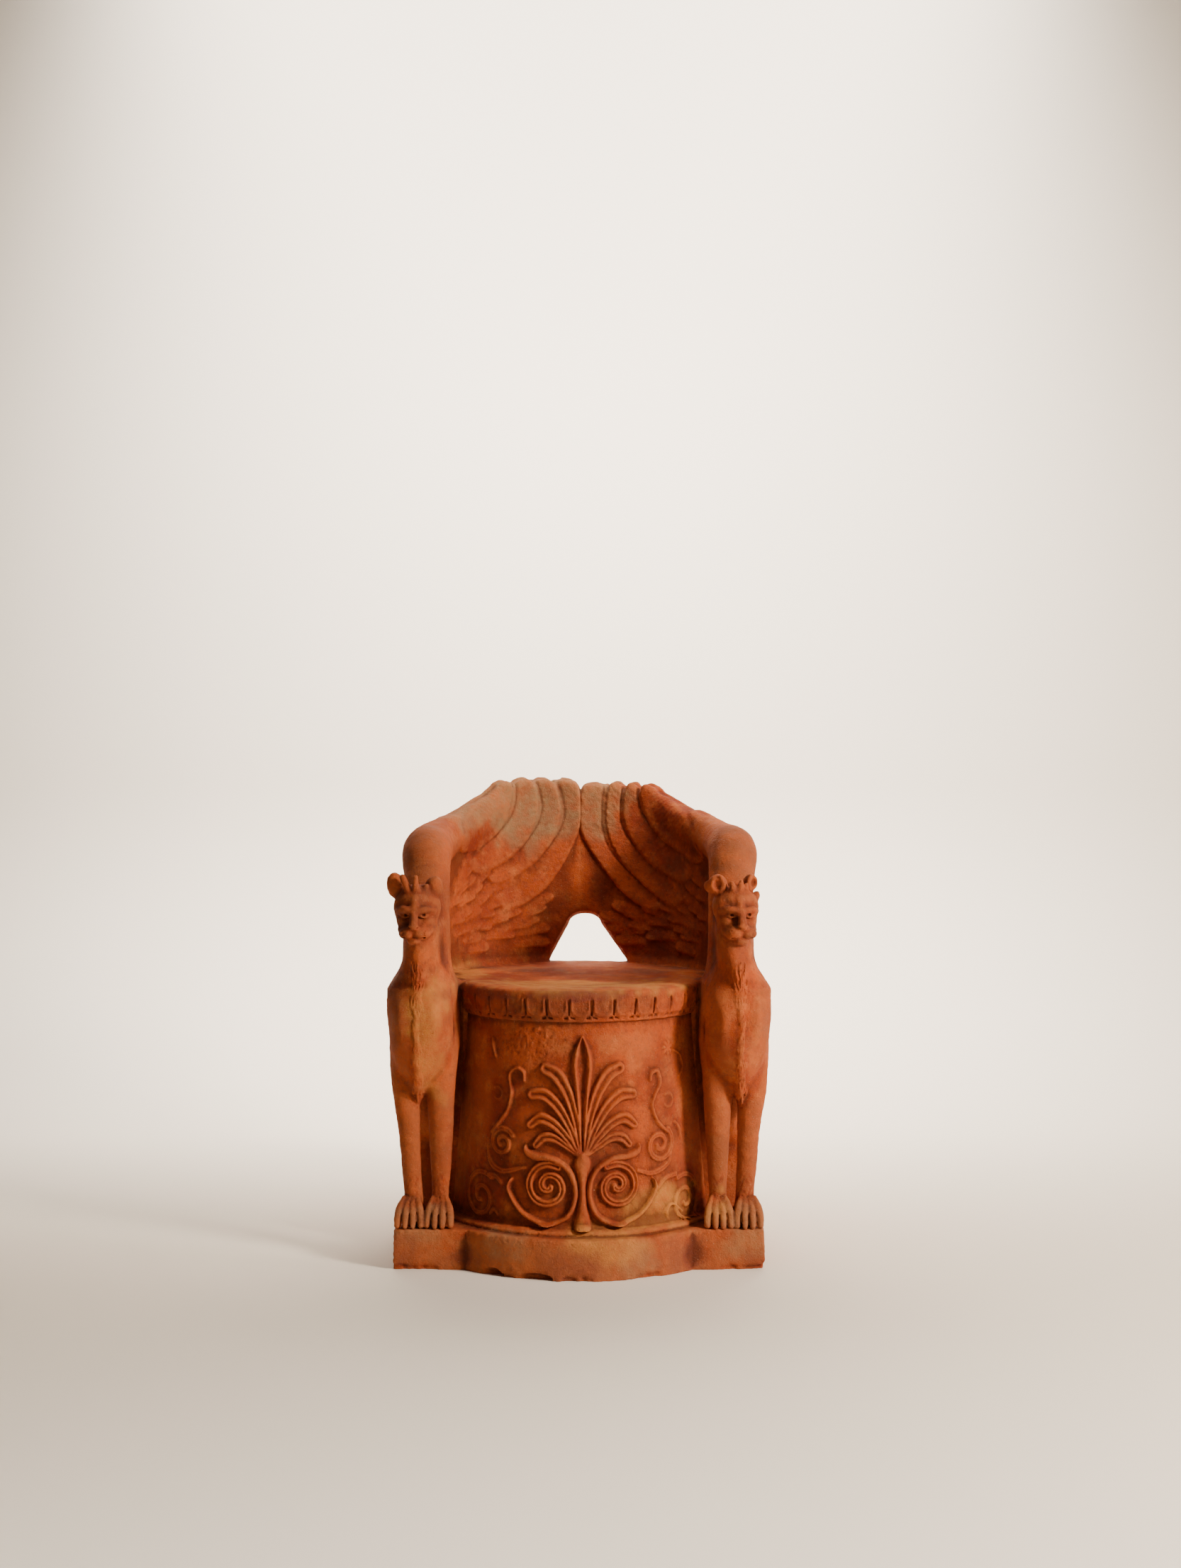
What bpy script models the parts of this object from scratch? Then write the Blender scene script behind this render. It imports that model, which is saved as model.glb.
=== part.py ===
# A fired-clay garden throne. Two winged and horned beasts stand on one plinth at the sides of a
# drum seat, and their wings meet behind it as a curved back with an arch between them.
# The whole throne was pressed, joined and fired as one piece, so it is one solid.
# Metres, +Z up, the front looks along -Y, and the ground is z = 0.
import math

import bmesh
import bpy
from mathutils import Matrix, Vector

# Plinth
plinth_height = 0.066
plinth_half_width = 0.306
plinth_bow_radius = 0.271
block_front_to_axis = 0.196
base_ring_radius = 0.247
base_ring_height = 0.007

# Drum seat
drum_foot_radius = 0.2275
drum_top_radius = 0.203
drum_foot_fillet = 0.010
seat_height = 0.463
seat_dish = 0.008
seat_flat_radius = 0.115
moulding_height = 0.054
moulding_overhang = 0.0125
rim_leaf_pitch = math.radians(10.06)
rim_leaf_reach = math.radians(77)
rim_leaf_turn = math.radians(0.6)
rim_leaf_depth = 0.0075

# Rear tub below the wings
tub_radius = 0.289
tub_front_from_axis = 0.070

# Wings
wing_inner_radius = 0.246
wing_thickness = 0.040
wing_height = 0.350
wing_reach = math.radians(106)
wing_lean = 0.006
feather_proud = 0.009
feather_root = 0.004
arch_height = 0.092
arch_half_width = 0.080
arch_foot_shift = 0.0157
arch_crown_shift = 0.006

# Beasts
beast_height = 0.591
beast_centre = 0.268
head_height = 0.100
head_back = 0.0635
head_up = 0.8714

# Carving on the drum
relief_proud = 0.0075
relief_turn = math.radians(1.5)

# Clay
voxel = 0.003
surface_triangles = 9300
seat_skim = 0.0004
weld_gap = 0.00001
cut_span = 2.0
ground_cut_depth = 0.10
seat_cut_depth = 0.02

clay_colour = (0.50, 0.125, 0.042, 1.0)
clay_roughness = 0.82

# The drum's axis stands so that the bowed front and the round back are equally far from the origin.
axis_y = (plinth_bow_radius - plinth_half_width) / 2
block_front_y = axis_y - block_front_to_axis
drum_foot_z = plinth_height + base_ring_height + drum_foot_fillet
moulding_z = seat_height - moulding_height
rim_radius = drum_top_radius + moulding_overhang
face_height = moulding_z - drum_foot_z
seat_flat_z = seat_height - seat_dish


# Empty the scene
for old in list(bpy.data.objects):
    bpy.data.objects.remove(old)

throne_parts = bpy.data.collections.new("throne_parts")
cutters = bpy.data.collections.new("cutters")
bpy.context.scene.collection.children.link(throne_parts)
bpy.context.scene.collection.children.link(cutters)

clay = bmesh.new()


# Small makers. Each adds one closed form to the clay.
def take(mesh_object):
    # Adds an object's finished mesh to the clay and removes the object.
    graph = bpy.context.evaluated_depsgraph_get()
    mesh = bpy.data.meshes.new_from_object(mesh_object.evaluated_get(graph))
    mesh.transform(mesh_object.matrix_world)
    clay.from_mesh(mesh)
    bpy.data.meshes.remove(mesh)
    bpy.data.objects.remove(mesh_object)


def link(name, data, collection=throne_parts):
    made = bpy.data.objects.new(name, data)
    collection.objects.link(made)
    return made


def tube_mesh(points, radii, sides=8):
    # A round rod through the points, thick as its radii say, welded shut at its ends.
    curve = bpy.data.curves.new("rod", "CURVE")
    curve.dimensions = "3D"
    curve.bevel_depth = 1.0
    curve.bevel_resolution = (sides - 4) // 2
    curve.use_fill_caps = True
    spline = curve.splines.new("POLY")
    spline.points.add(len(points) - 1)
    for knot, point, radius in zip(spline.points, points, radii):
        knot.co = (*point, 1.0)
        knot.radius = radius
    rod = link("rod", curve)
    graph = bpy.context.evaluated_depsgraph_get()
    mesh = bpy.data.meshes.new_from_object(rod.evaluated_get(graph))
    bpy.data.objects.remove(rod)
    weld = bmesh.new()
    weld.from_mesh(mesh)
    bmesh.ops.remove_doubles(weld, verts=weld.verts, dist=weld_gap)
    weld.to_mesh(mesh)
    weld.free()
    return mesh


def ball_mesh(centre, radii, turn=None, segments=16, rings=10):
    form = bmesh.new()
    stretch = Matrix.Diagonal((*radii, 1.0))
    place = Matrix.Translation(Vector(centre)) @ (turn or Matrix.Identity(4)) @ stretch
    bmesh.ops.create_uvsphere(form, u_segments=segments, v_segments=rings, radius=1.0, matrix=place)
    mesh = bpy.data.meshes.new("ball")
    form.to_mesh(mesh)
    form.free()
    return mesh


def smooth_path(points, steps=5):
    # A Catmull-Rom curve through the points, of any dimension.
    ends = [points[0]] + list(points) + [points[-1]]
    path = []
    for first in range(len(points) - 1):
        p0, p1, p2, p3 = ends[first:first + 4]
        for step in range(steps):
            t = step / steps
            path.append(tuple(
                0.5 * (2 * b + (c - a) * t + (2 * a - 5 * b + 4 * c - d) * t * t
                       + (3 * b - a - 3 * c + d) * t ** 3)
                for a, b, c, d in zip(p0, p1, p2, p3)))
    path.append(tuple(points[-1]))
    return path


def turned(profile, steps=72):
    # A closed profile of (radius, z) turned about the drum's axis.
    mesh = bpy.data.meshes.new("turned")
    verts = [(radius, 0.0, z) for radius, z in profile]
    mesh.from_pydata(verts, [(i, i + 1) for i in range(len(verts) - 1)], [])
    body = link("turned", mesh)
    body.location = (0.0, axis_y, 0.0)
    screw = body.modifiers.new("Screw", "SCREW")
    screw.steps = steps
    screw.render_steps = steps
    screw.use_merge_vertices = True
    screw.merge_threshold = weld_gap
    bpy.context.view_layer.update()
    take(body)


def slab(outline, low_z, high_z):
    # A flat outline of (x, y) extruded upwards.
    curve = bpy.data.curves.new("slab", "CURVE")
    curve.dimensions = "2D"
    curve.fill_mode = "BOTH"
    curve.extrude = (high_z - low_z) / 2
    spline = curve.splines.new("POLY")
    spline.points.add(len(outline) - 1)
    spline.use_cyclic_u = True
    for knot, (x, y) in zip(spline.points, outline):
        knot.co = (x, y, 0.0, 1.0)
    body = link("slab", curve)
    body.location = (0.0, 0.0, (low_z + high_z) / 2)
    bpy.context.view_layer.update()
    take(body)


def arc(centre, radius, start_degrees, end_degrees, steps):
    sweep = end_degrees - start_degrees
    angles = [math.radians(start_degrees + sweep * i / steps) for i in range(steps + 1)]
    return [(centre[0] + radius * math.cos(a), centre[1] + radius * math.sin(a)) for a in angles]


# Plinth: two square blocks under the beasts, a bow under the drum and a round back.
def make_plinth():
    bow_half_angle = math.degrees(math.acos(block_front_to_axis / plinth_bow_radius))
    outline = [(-plinth_half_width, block_front_y)]
    outline += arc((0.0, axis_y), plinth_bow_radius, 270 - bow_half_angle, 270 + bow_half_angle, 24)
    outline += [(plinth_half_width, block_front_y)]
    outline += arc((0.0, axis_y), plinth_half_width, 0, 180, 40)
    # The plinth starts below the ground and is cut flush at the end.
    slab(outline, -2 * voxel, plinth_height)


# Drum: a base ring, a tapered face, the moulding and the dished seat.
def make_drum():
    buried = plinth_height / 2
    rim_height = moulding_height
    profile = [
        (0.0, seat_flat_z + seat_skim),
        (seat_flat_radius, seat_flat_z + seat_skim),
        (drum_top_radius * 0.86, seat_height - seat_dish * 0.20),
        (drum_top_radius * 0.96, seat_height),
        (rim_radius - 0.004, seat_height - rim_height * 0.06),
        (rim_radius, seat_height - rim_height * 0.20),
        (rim_radius - 0.002, seat_height - rim_height * 0.34),
        (rim_radius - 0.005, seat_height - rim_height * 0.62),
        (drum_top_radius + 0.003, moulding_z + rim_height * 0.12),
        (drum_top_radius + 0.004, moulding_z + rim_height * 0.05),
        (drum_top_radius, moulding_z),
        (drum_foot_radius, drum_foot_z),
        (drum_foot_radius + drum_foot_fillet * 0.35, drum_foot_z - drum_foot_fillet * 0.7),
        (base_ring_radius - 0.003, plinth_height + base_ring_height),
        (base_ring_radius, plinth_height + base_ring_height * 0.6),
        (base_ring_radius, buried),
        (0.0, buried),
    ]
    turned(profile)


# A leaf tongue hangs in each bay of the moulding.
def make_rim_leaves():
    bays = int(rim_leaf_reach / rim_leaf_pitch)
    leaf_z = moulding_z + moulding_height * 0.46
    width = rim_radius * rim_leaf_pitch * 0.44
    for bay in range(-bays, bays + 1):
        angle = bay * rim_leaf_pitch + rim_leaf_turn
        place = (rim_radius * math.sin(angle), axis_y - (rim_radius - 0.005) * math.cos(angle), leaf_z)
        size = (width, rim_leaf_depth, moulding_height * 0.40)
        clay.from_mesh(ball_mesh(place, size, Matrix.Rotation(angle, 4, "Z")))


# Relief is carved flat as (across, up), then wrapped round the drum.
def drum_radius(z):
    return drum_foot_radius + (drum_top_radius - drum_foot_radius) * (z - drum_foot_z) / face_height


def wrap_on_drum(mesh, proud):
    # Flat x is the way across and z the way up, both in shares of the face. Depth comes from -y.
    for vert in mesh.vertices:
        z = drum_foot_z + vert.co.z * face_height
        radius = drum_radius(z)
        angle = vert.co.x * face_height / radius + relief_turn
        reach = radius - vert.co.y * proud
        vert.co = (reach * math.sin(angle), axis_y - reach * math.cos(angle), z)
    clay.from_mesh(mesh)


def flat_tendril(points, widths, proud=1.0, mirrored=True):
    # Points and widths are shares of the face height. A width tapers between its first and last value.
    path = smooth_path([(*point, width) for point, width in zip(points, widths)], 4)
    for side in ((1, -1) if mirrored else (1,)):
        mesh = tube_mesh([(side * x, 0.0, z) for x, z, _ in path], [width / 2 for *_, width in path], 6)
        middle = sum(widths) / len(widths) / 2
        for vert in mesh.vertices:
            vert.co.y /= middle
        wrap_on_drum(mesh, relief_proud * proud)


def spiral(centre, start_radius, end_radius, start_degrees, turns, steps):
    points = []
    for step in range(steps + 1):
        share = step / steps
        radius = start_radius + (end_radius - start_radius) * share
        angle = math.radians(start_degrees + 360 * turns * share)
        points.append((centre[0] + radius * math.cos(angle), centre[1] + radius * math.sin(angle)))
    return points


def evenly(first, last, count):
    return [first + (last - first) * i / (count - 1) for i in range(count)]


# Palmette: nine lobes fan out of a bud, above a stem with a flared foot.
def make_palmette():
    lobes = [
        [(0.020, 0.40), (0.050, 0.60), (0.110, 0.74), (0.190, 0.785)],
        [(0.024, 0.39), (0.080, 0.55), (0.170, 0.645), (0.260, 0.640)],
        [(0.026, 0.38), (0.110, 0.50), (0.195, 0.550), (0.270, 0.500)],
        [(0.028, 0.37), (0.110, 0.43), (0.185, 0.450), (0.240, 0.395)],
    ]
    for lobe in lobes:
        flat_tendril(lobe, [0.020, 0.040, 0.062, 0.040])
    flat_tendril([(0.0, 0.38), (0.0, 0.62), (0.0, 0.79), (0.0, 0.92)],
                 [0.030, 0.060, 0.105, 0.020], 1.1, False)
    flat_tendril([(0.0, 0.345), (0.0, 0.29), (0.0, 0.19), (0.0, 0.08), (0.0, 0.0)],
                 [0.020, 0.085, 0.045, 0.055, 0.090], 1.3, False)


# Volutes: a C-shaped band round each spiral, with a leaf tip above.
def make_volutes():
    eye = (0.172, 0.187)
    band = [(0.365, 0.205), (0.388, 0.155), (0.300, 0.040), (0.172, -0.002), (0.066, 0.045), (0.028, 0.155),
            (0.060, 0.262), (0.140, 0.320), (0.215, 0.325), (0.288, 0.365)]
    flat_tendril(band, [0.020, 0.036, 0.045, 0.045, 0.045, 0.045, 0.045, 0.045, 0.050, 0.020])
    coil = spiral(eye, 0.122, 0.030, 200, -1.75, 14)
    flat_tendril(coil, evenly(0.036, 0.030, len(coil)), 0.9)


# Tendrils: a hooked stem and its spiral beside the palmette, a lower scroll and a rosette.
def make_tendrils():
    stem = [(0.335, 0.720), (0.365, 0.752), (0.408, 0.700), (0.372, 0.600), (0.412, 0.510), (0.487, 0.445)]
    flat_tendril(stem, [0.035, 0.030, 0.024, 0.030, 0.028, 0.020], 0.8)
    curl = spiral((0.425, 0.378), 0.085, 0.018, 60, -1.5, 10)
    flat_tendril(curl, evenly(0.028, 0.024, len(curl)), 0.8)
    flat_tendril([(0.505, 0.340), (0.490, 0.280), (0.395, 0.235), (0.285, 0.268)],
                 [0.022, 0.028, 0.028, 0.022], 0.8)
    scroll = [(0.405, 0.150), (0.470, 0.200), (0.560, 0.215)]
    scroll += spiral((0.600, 0.068), 0.135, 0.030, 75, -1.25, 9)
    flat_tendril(scroll, evenly(0.030, 0.026, len(scroll)), 0.8)
    flat_tendril([(0.470, 0.010), (0.495, 0.040), (0.550, 0.010)], [0.034, 0.030, 0.022], 0.8)
    for side in (1, -1):
        bud = ball_mesh((side * 0.487, 0.0, 0.845), (0.036, 1.0, 0.036), None, 10, 6)
        wrap_on_drum(bud, relief_proud * 0.8)
    flat_tendril([(0.520, 0.800), (0.600, 0.765), (0.545, 0.695)], [0.018, 0.016, 0.016], 0.7)


# Rear tub: the closed body of the chair behind the drum.
def make_tub():
    outline = [(-tub_radius, axis_y - tub_front_from_axis)]
    outline += [(tub_radius, axis_y - tub_front_from_axis)]
    outline += arc((0.0, axis_y), tub_radius, 0, 180, 36)
    slab(outline, plinth_height / 2, seat_flat_z - seat_dish)
    # The seat runs back to the wings as a level ledge, and the tub's outer wall rises round it.
    front = math.degrees(math.asin(tub_front_from_axis / tub_radius))
    ledge = arc((0.0, axis_y), tub_radius, -front, 180 + front, 40)
    ledge += arc((0.0, axis_y), drum_top_radius * 0.93, 180 + front, -front, 40)
    slab(ledge, seat_flat_z - 3 * seat_dish, seat_height)


# Wings. An angle of 0 is the middle of the back, and a positive angle turns towards +X. Heights are
# shares of the wing's height above the seat, and the right wing is a little lower than the left.
left_edge = ((0, 0.930), (12, 0.965), (21, 0.967), (34, 0.930), (41, 0.890), (53, 0.830), (65, 0.780),
             (78, 0.735), (92, 0.66), (107, 0.44))
right_edge = ((0, 0.930), (12, 0.935), (26, 0.915), (31, 0.905), (39, 0.855), (45, 0.815), (60, 0.770),
              (78, 0.720), (92, 0.64), (107, 0.42))
left_tips = ((33, 0.972), (25.5, 0.988), (16.5, 1.008), (6.5, 0.996))
right_tips = ((29.5, 0.946), (22, 0.951), (16, 0.957), (9.5, 0.960))


def shell_point(angle, z, radius):
    return (radius * math.sin(angle), axis_y + radius * math.cos(angle), z)


def wing_edge(angle):
    # Height of the wing's smooth edge, under the feathers' tips.
    turn = abs(math.degrees(angle))
    marks = right_edge if angle > 0 else left_edge
    for (a, low), (b, high) in zip(marks, marks[1:]):
        if turn <= b:
            return low + (high - low) * (turn - a) / (b - a)
    return marks[-1][1]


def make_wing_shell():
    columns, rows = 72, 10
    form = bmesh.new()
    bmesh.ops.create_grid(form, x_segments=columns, y_segments=rows, size=1.0)
    for vert in form.verts:
        angle = vert.co.x * wing_reach
        top = seat_height + wing_height * wing_edge(angle)
        low = seat_height - 0.02
        share = (vert.co.y + 1) / 2
        vert.co = shell_point(angle, low + (top - low) * share, wing_inner_radius + wing_lean * share)
    bmesh.ops.recalc_face_normals(form, faces=form.faces)
    mesh = bpy.data.meshes.new("wing_shell")
    form.to_mesh(mesh)
    form.free()
    shell = link("wing_shell", mesh)
    wall = shell.modifiers.new("Solidify", "SOLIDIFY")
    wall.thickness = wing_thickness
    middle = mesh.polygons[len(mesh.polygons) // 2]
    outward = Vector((middle.center.x, middle.center.y - axis_y, 0.0)).dot(middle.normal)
    wall.offset = 1.0 if outward > 0 else -1.0

    # The arch: straight flanks that lean in to a round crown.
    crown = arch_half_width * 0.42
    sill = -seat_dish / 2
    outline = [(arch_foot_shift - arch_half_width, sill), (arch_foot_shift + arch_half_width, sill)]
    for step in range(9):
        angle = math.pi * step / 8
        across = arch_crown_shift + crown * math.cos(angle)
        outline.append((across, arch_height - crown * 0.55 + crown * 0.55 * math.sin(angle)))
    curve = bpy.data.curves.new("arch_cutter", "CURVE")
    curve.dimensions = "2D"
    curve.fill_mode = "BOTH"
    curve.extrude = wing_thickness * 2
    spline = curve.splines.new("POLY")
    spline.points.add(len(outline) - 1)
    spline.use_cyclic_u = True
    for knot, (x, up) in zip(spline.points, outline):
        knot.co = (x, up, 0.0, 1.0)
    guide = link("arch_guide", curve, cutters)
    guide.rotation_euler = (math.radians(90), 0.0, 0.0)
    guide.location = (0.0, axis_y + wing_inner_radius, seat_height)
    bpy.context.view_layer.update()
    graph = bpy.context.evaluated_depsgraph_get()
    cut_mesh = bpy.data.meshes.new_from_object(guide.evaluated_get(graph))
    weld = bmesh.new()
    weld.from_mesh(cut_mesh)
    bmesh.ops.remove_doubles(weld, verts=weld.verts, dist=weld_gap)
    weld.to_mesh(cut_mesh)
    weld.free()
    cutter = link("arch_cutter", cut_mesh, cutters)
    cutter.matrix_world = guide.matrix_world.copy()
    bpy.data.objects.remove(guide)
    cutter.hide_render = True
    cutter.display_type = "WIRE"
    cut = shell.modifiers.new("Arch", "BOOLEAN")
    cut.operation = "DIFFERENCE"
    cut.object = cutter
    bpy.context.view_layer.update()
    take(shell)


def wing_plume(side, points, widths, proud=1.0, face=1):
    # A long feather on the wing's inner face, or on its outer one where face is -1. Points are (degrees,
    # share of the wing's height), from the rounded tip down.
    path = smooth_path([(*point, width) for point, width in zip(points, widths)], 4)
    radius = wing_inner_radius + (feather_root if face > 0 else wing_lean + wing_thickness - feather_root)
    knots = [(side * math.radians(turn) * radius, up * wing_height, width / 2) for turn, up, width in path]
    tip, beside = Vector(knots[0][:2]), Vector(knots[1][:2])
    ahead = (tip - beside).normalized()
    dome = []
    for share in (0.97, 0.80, 0.45):
        end = tip + ahead * knots[0][2] * share
        dome.append((end.x, end.y, knots[0][2] * math.sqrt(1 - share * share)))
    knots = dome + knots
    mesh = tube_mesh([(across, 0.0, up) for across, up, _ in knots], [half for *_, half in knots], 8)
    middle = sum(widths) / len(widths) / 2
    for vert in mesh.vertices:
        depth = vert.co.y / middle
        reach = radius + face * depth * (feather_proud * proud if depth < 0 else wing_thickness * 0.62)
        vert.co = shell_point(vert.co.x / radius, seat_height + vert.co.z, reach)
    clay.from_mesh(mesh)


def make_feathers():
    # Below its tip each primary sweeps down and out to the shoulder.
    sweeps = (
        ((1, -0.085), (7, -0.165), (19, -0.230), (31, -0.285)),
        ((1, -0.105), (4, -0.215), (13, -0.305), (29, -0.385)),
        ((-1, -0.115), (0, -0.235), (8, -0.355), (26, -0.475)),
        ((-2, -0.125), (-1, -0.265), (7, -0.415), (25, -0.565)),
    )
    for side, tips, width in ((-1, left_tips, 0.037), (1, right_tips, 0.031)):
        for (turn, up), sweep in zip(tips, sweeps):
            points = [(turn, up - width / 2 / wing_height)]
            points += [(turn + aside, up + down) for aside, down in sweep]
            for face in (1, -1):
                wing_plume(side, points, [width * 0.93, width, width, width * 0.8, width * 0.5], 1.0, face)
        # Secondaries: shorter feathers below, each a little lower and flatter.
        for row in range(4):
            top = 0.60 - 0.10 * row
            start = 5 + 4 * row
            points = [(start, top), (start + 9, top - 0.10), (start + 24, top - 0.17)]
            wing_plume(side, points, [0.024, 0.026, 0.014], 0.7)
        # Coverts: short scales in slanting rows towards the shoulder.
        for row in range(5):
            for place in range(3):
                turn = 50 + 10 * place + 3 * (row % 2)
                up = 0.62 - 0.105 * row - 0.02 * place
                wing_plume(side, [(turn, up), (turn + 9, up - 0.035)], [0.020, 0.012], 0.6)


# Leading edge: a thick smooth limb from the beast's back over the shoulder and along the wing.
def make_leading_edges():
    rise = wing_height
    limb = [(106, 0.00, 0.036), (105, 0.28, 0.034), (101, 0.50, 0.038), (93, 0.62, 0.042),
            (82, 0.645, 0.041), (68, 0.675, 0.033), (54, 0.735, 0.026), (42, 0.810, 0.021)]
    path = smooth_path(limb, 4)
    for side in (1, -1):
        centre = wing_inner_radius + wing_thickness * 0.5
        points = [shell_point(side * math.radians(turn), seat_height + up * rise, centre)
                  for turn, up, _ in path]
        clay.from_mesh(tube_mesh(points, [radius for *_, radius in path], 12))


# Beasts. A place is (out, back, up) in shares of the beast's height: out from its own middle,
# back from the front of its block and up from the plinth's top.
def beast_place(side, place):
    out, back, up = place
    return Vector((side * (beast_centre + out * beast_height), block_front_y + back * beast_height,
                   plinth_height + up * beast_height))


def limb(side, knots, sides=10):
    path = smooth_path(knots, 4)
    clay.from_mesh(tube_mesh([beast_place(side, knot[:3]) for knot in path],
                             [knot[3] * beast_height for knot in path], sides))


def lump(side, centre, radii, lean=0.0, roll=0.0):
    turn = Matrix.Rotation(math.radians(side * roll), 4, "Y") @ Matrix.Rotation(math.radians(lean), 4, "X")
    clay.from_mesh(ball_mesh(beast_place(side, centre), [r * beast_height for r in radii], turn))


def make_body(side):
    lump(side, (0.004, 0.165, 0.565), (0.094, 0.140, 0.145))
    lump(side, (0.002, 0.180, 0.480), (0.086, 0.125, 0.130))
    lump(side, (0.050, 0.150, 0.612), (0.0470, 0.105, 0.070), 0, 20)
    lump(side, (-0.042, 0.150, 0.608), (0.046, 0.105, 0.068), 0, -20)
    lump(side, (0.046, 0.080, 0.570), (0.040, 0.050, 0.062))
    lump(side, (-0.044, 0.080, 0.575), (0.038, 0.050, 0.062))
    # The flank runs back and fades into the tub.
    limb(side, [(-0.020, 0.200, 0.510, 0.090), (-0.030, 0.320, 0.500, 0.095), (-0.050, 0.430, 0.490, 0.078),
                (-0.088, 0.560, 0.475, 0.045)], 14)
    # The breast is a keel that comes down to a point between the legs.
    limb(side, [(0.0, 0.110, 0.715, 0.024), (0.0, 0.094, 0.665, 0.056), (0.0, 0.082, 0.605, 0.076),
                (0.0, 0.078, 0.530, 0.076), (0.0, 0.074, 0.455, 0.060), (0.0, 0.062, 0.400, 0.038),
                (-0.003, 0.050, 0.366, 0.014)], 12)
    limb(side, [(0.0, 0.070, 0.715, 0.012), (0.0, 0.036, 0.670, 0.014), (0.0, 0.014, 0.610, 0.014),
                (0.0, 0.012, 0.500, 0.012), (0.0, 0.022, 0.420, 0.012), (-0.003, 0.038, 0.366, 0.010)], 8)


def make_legs(side):
    for top, knee, ankle, paw, thick in ((-0.046, -0.047, -0.042, -0.052, 1.0),
                                         (0.038, 0.036, 0.022, 0.030, 0.92)):
        limb(side, [(top * 0.90, 0.165, 0.55, 0.048), (top, 0.135, 0.44, 0.048), (top, 0.115, 0.35, 0.043),
                    (knee, 0.105, 0.25, 0.035 * thick),
                    (ankle - 0.001, 0.095, 0.13, 0.025), (ankle, 0.090, 0.07, 0.024),
                    (paw, 0.080, 0.03, 0.026)])
        lump(side, (paw, 0.066, 0.022), (0.036, 0.058, 0.032))
        for toe in range(4):
            spread = (toe - 1.5) * 0.0185
            reach = 0.030 - 0.006 * (toe in (1, 2))
            limb(side, [(paw + spread * 0.6, 0.070, 0.045, 0.0100),
                        (paw + spread, reach + 0.008, 0.026, 0.0100),
                        (paw + spread * 1.05, reach - 0.012, 0.008, 0.0075)], 6)


# Heads. A place is (out, back, up) in shares of the head's height, from the head's middle at its
# eyes. The right head turns towards +X, the left one hardly.
head_out = {1: -0.003, -1: 0.0055}
head_turn = {1: math.radians(9), -1: math.radians(-3)}


def head_matrix(side):
    middle = beast_place(side, (0.0, 0.0, head_up))
    middle.x += side * head_out[side]
    middle.y += head_back
    return Matrix.Translation(middle) @ Matrix.Rotation(side * head_turn[side], 4, "Z")


def head_place(side, place):
    out, back, up = place
    return head_matrix(side) @ (Vector((side * out, back, up)) * head_height)


def head_lump(side, centre, radii, roll=0.0):
    tilt = Matrix.Rotation(math.radians(side * roll), 4, "Y")
    turn = Matrix.Rotation(side * head_turn[side], 4, "Z") @ tilt
    clay.from_mesh(ball_mesh(head_place(side, centre), [r * head_height for r in radii], turn))


def head_limb(side, knots, sides=8):
    path = smooth_path(knots, 4)
    clay.from_mesh(tube_mesh([head_place(side, knot[:3]) for knot in path],
                             [knot[3] * head_height for knot in path], sides))


def make_ear(side, way, place, radii, roll):
    # A rounded ear with a smaller tip behind it.
    head_lump(side, place, radii, way * roll)
    head_lump(side, (way * 0.38, 0.08, 0.28), (0.08, 0.10, 0.11), way * 22)


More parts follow.
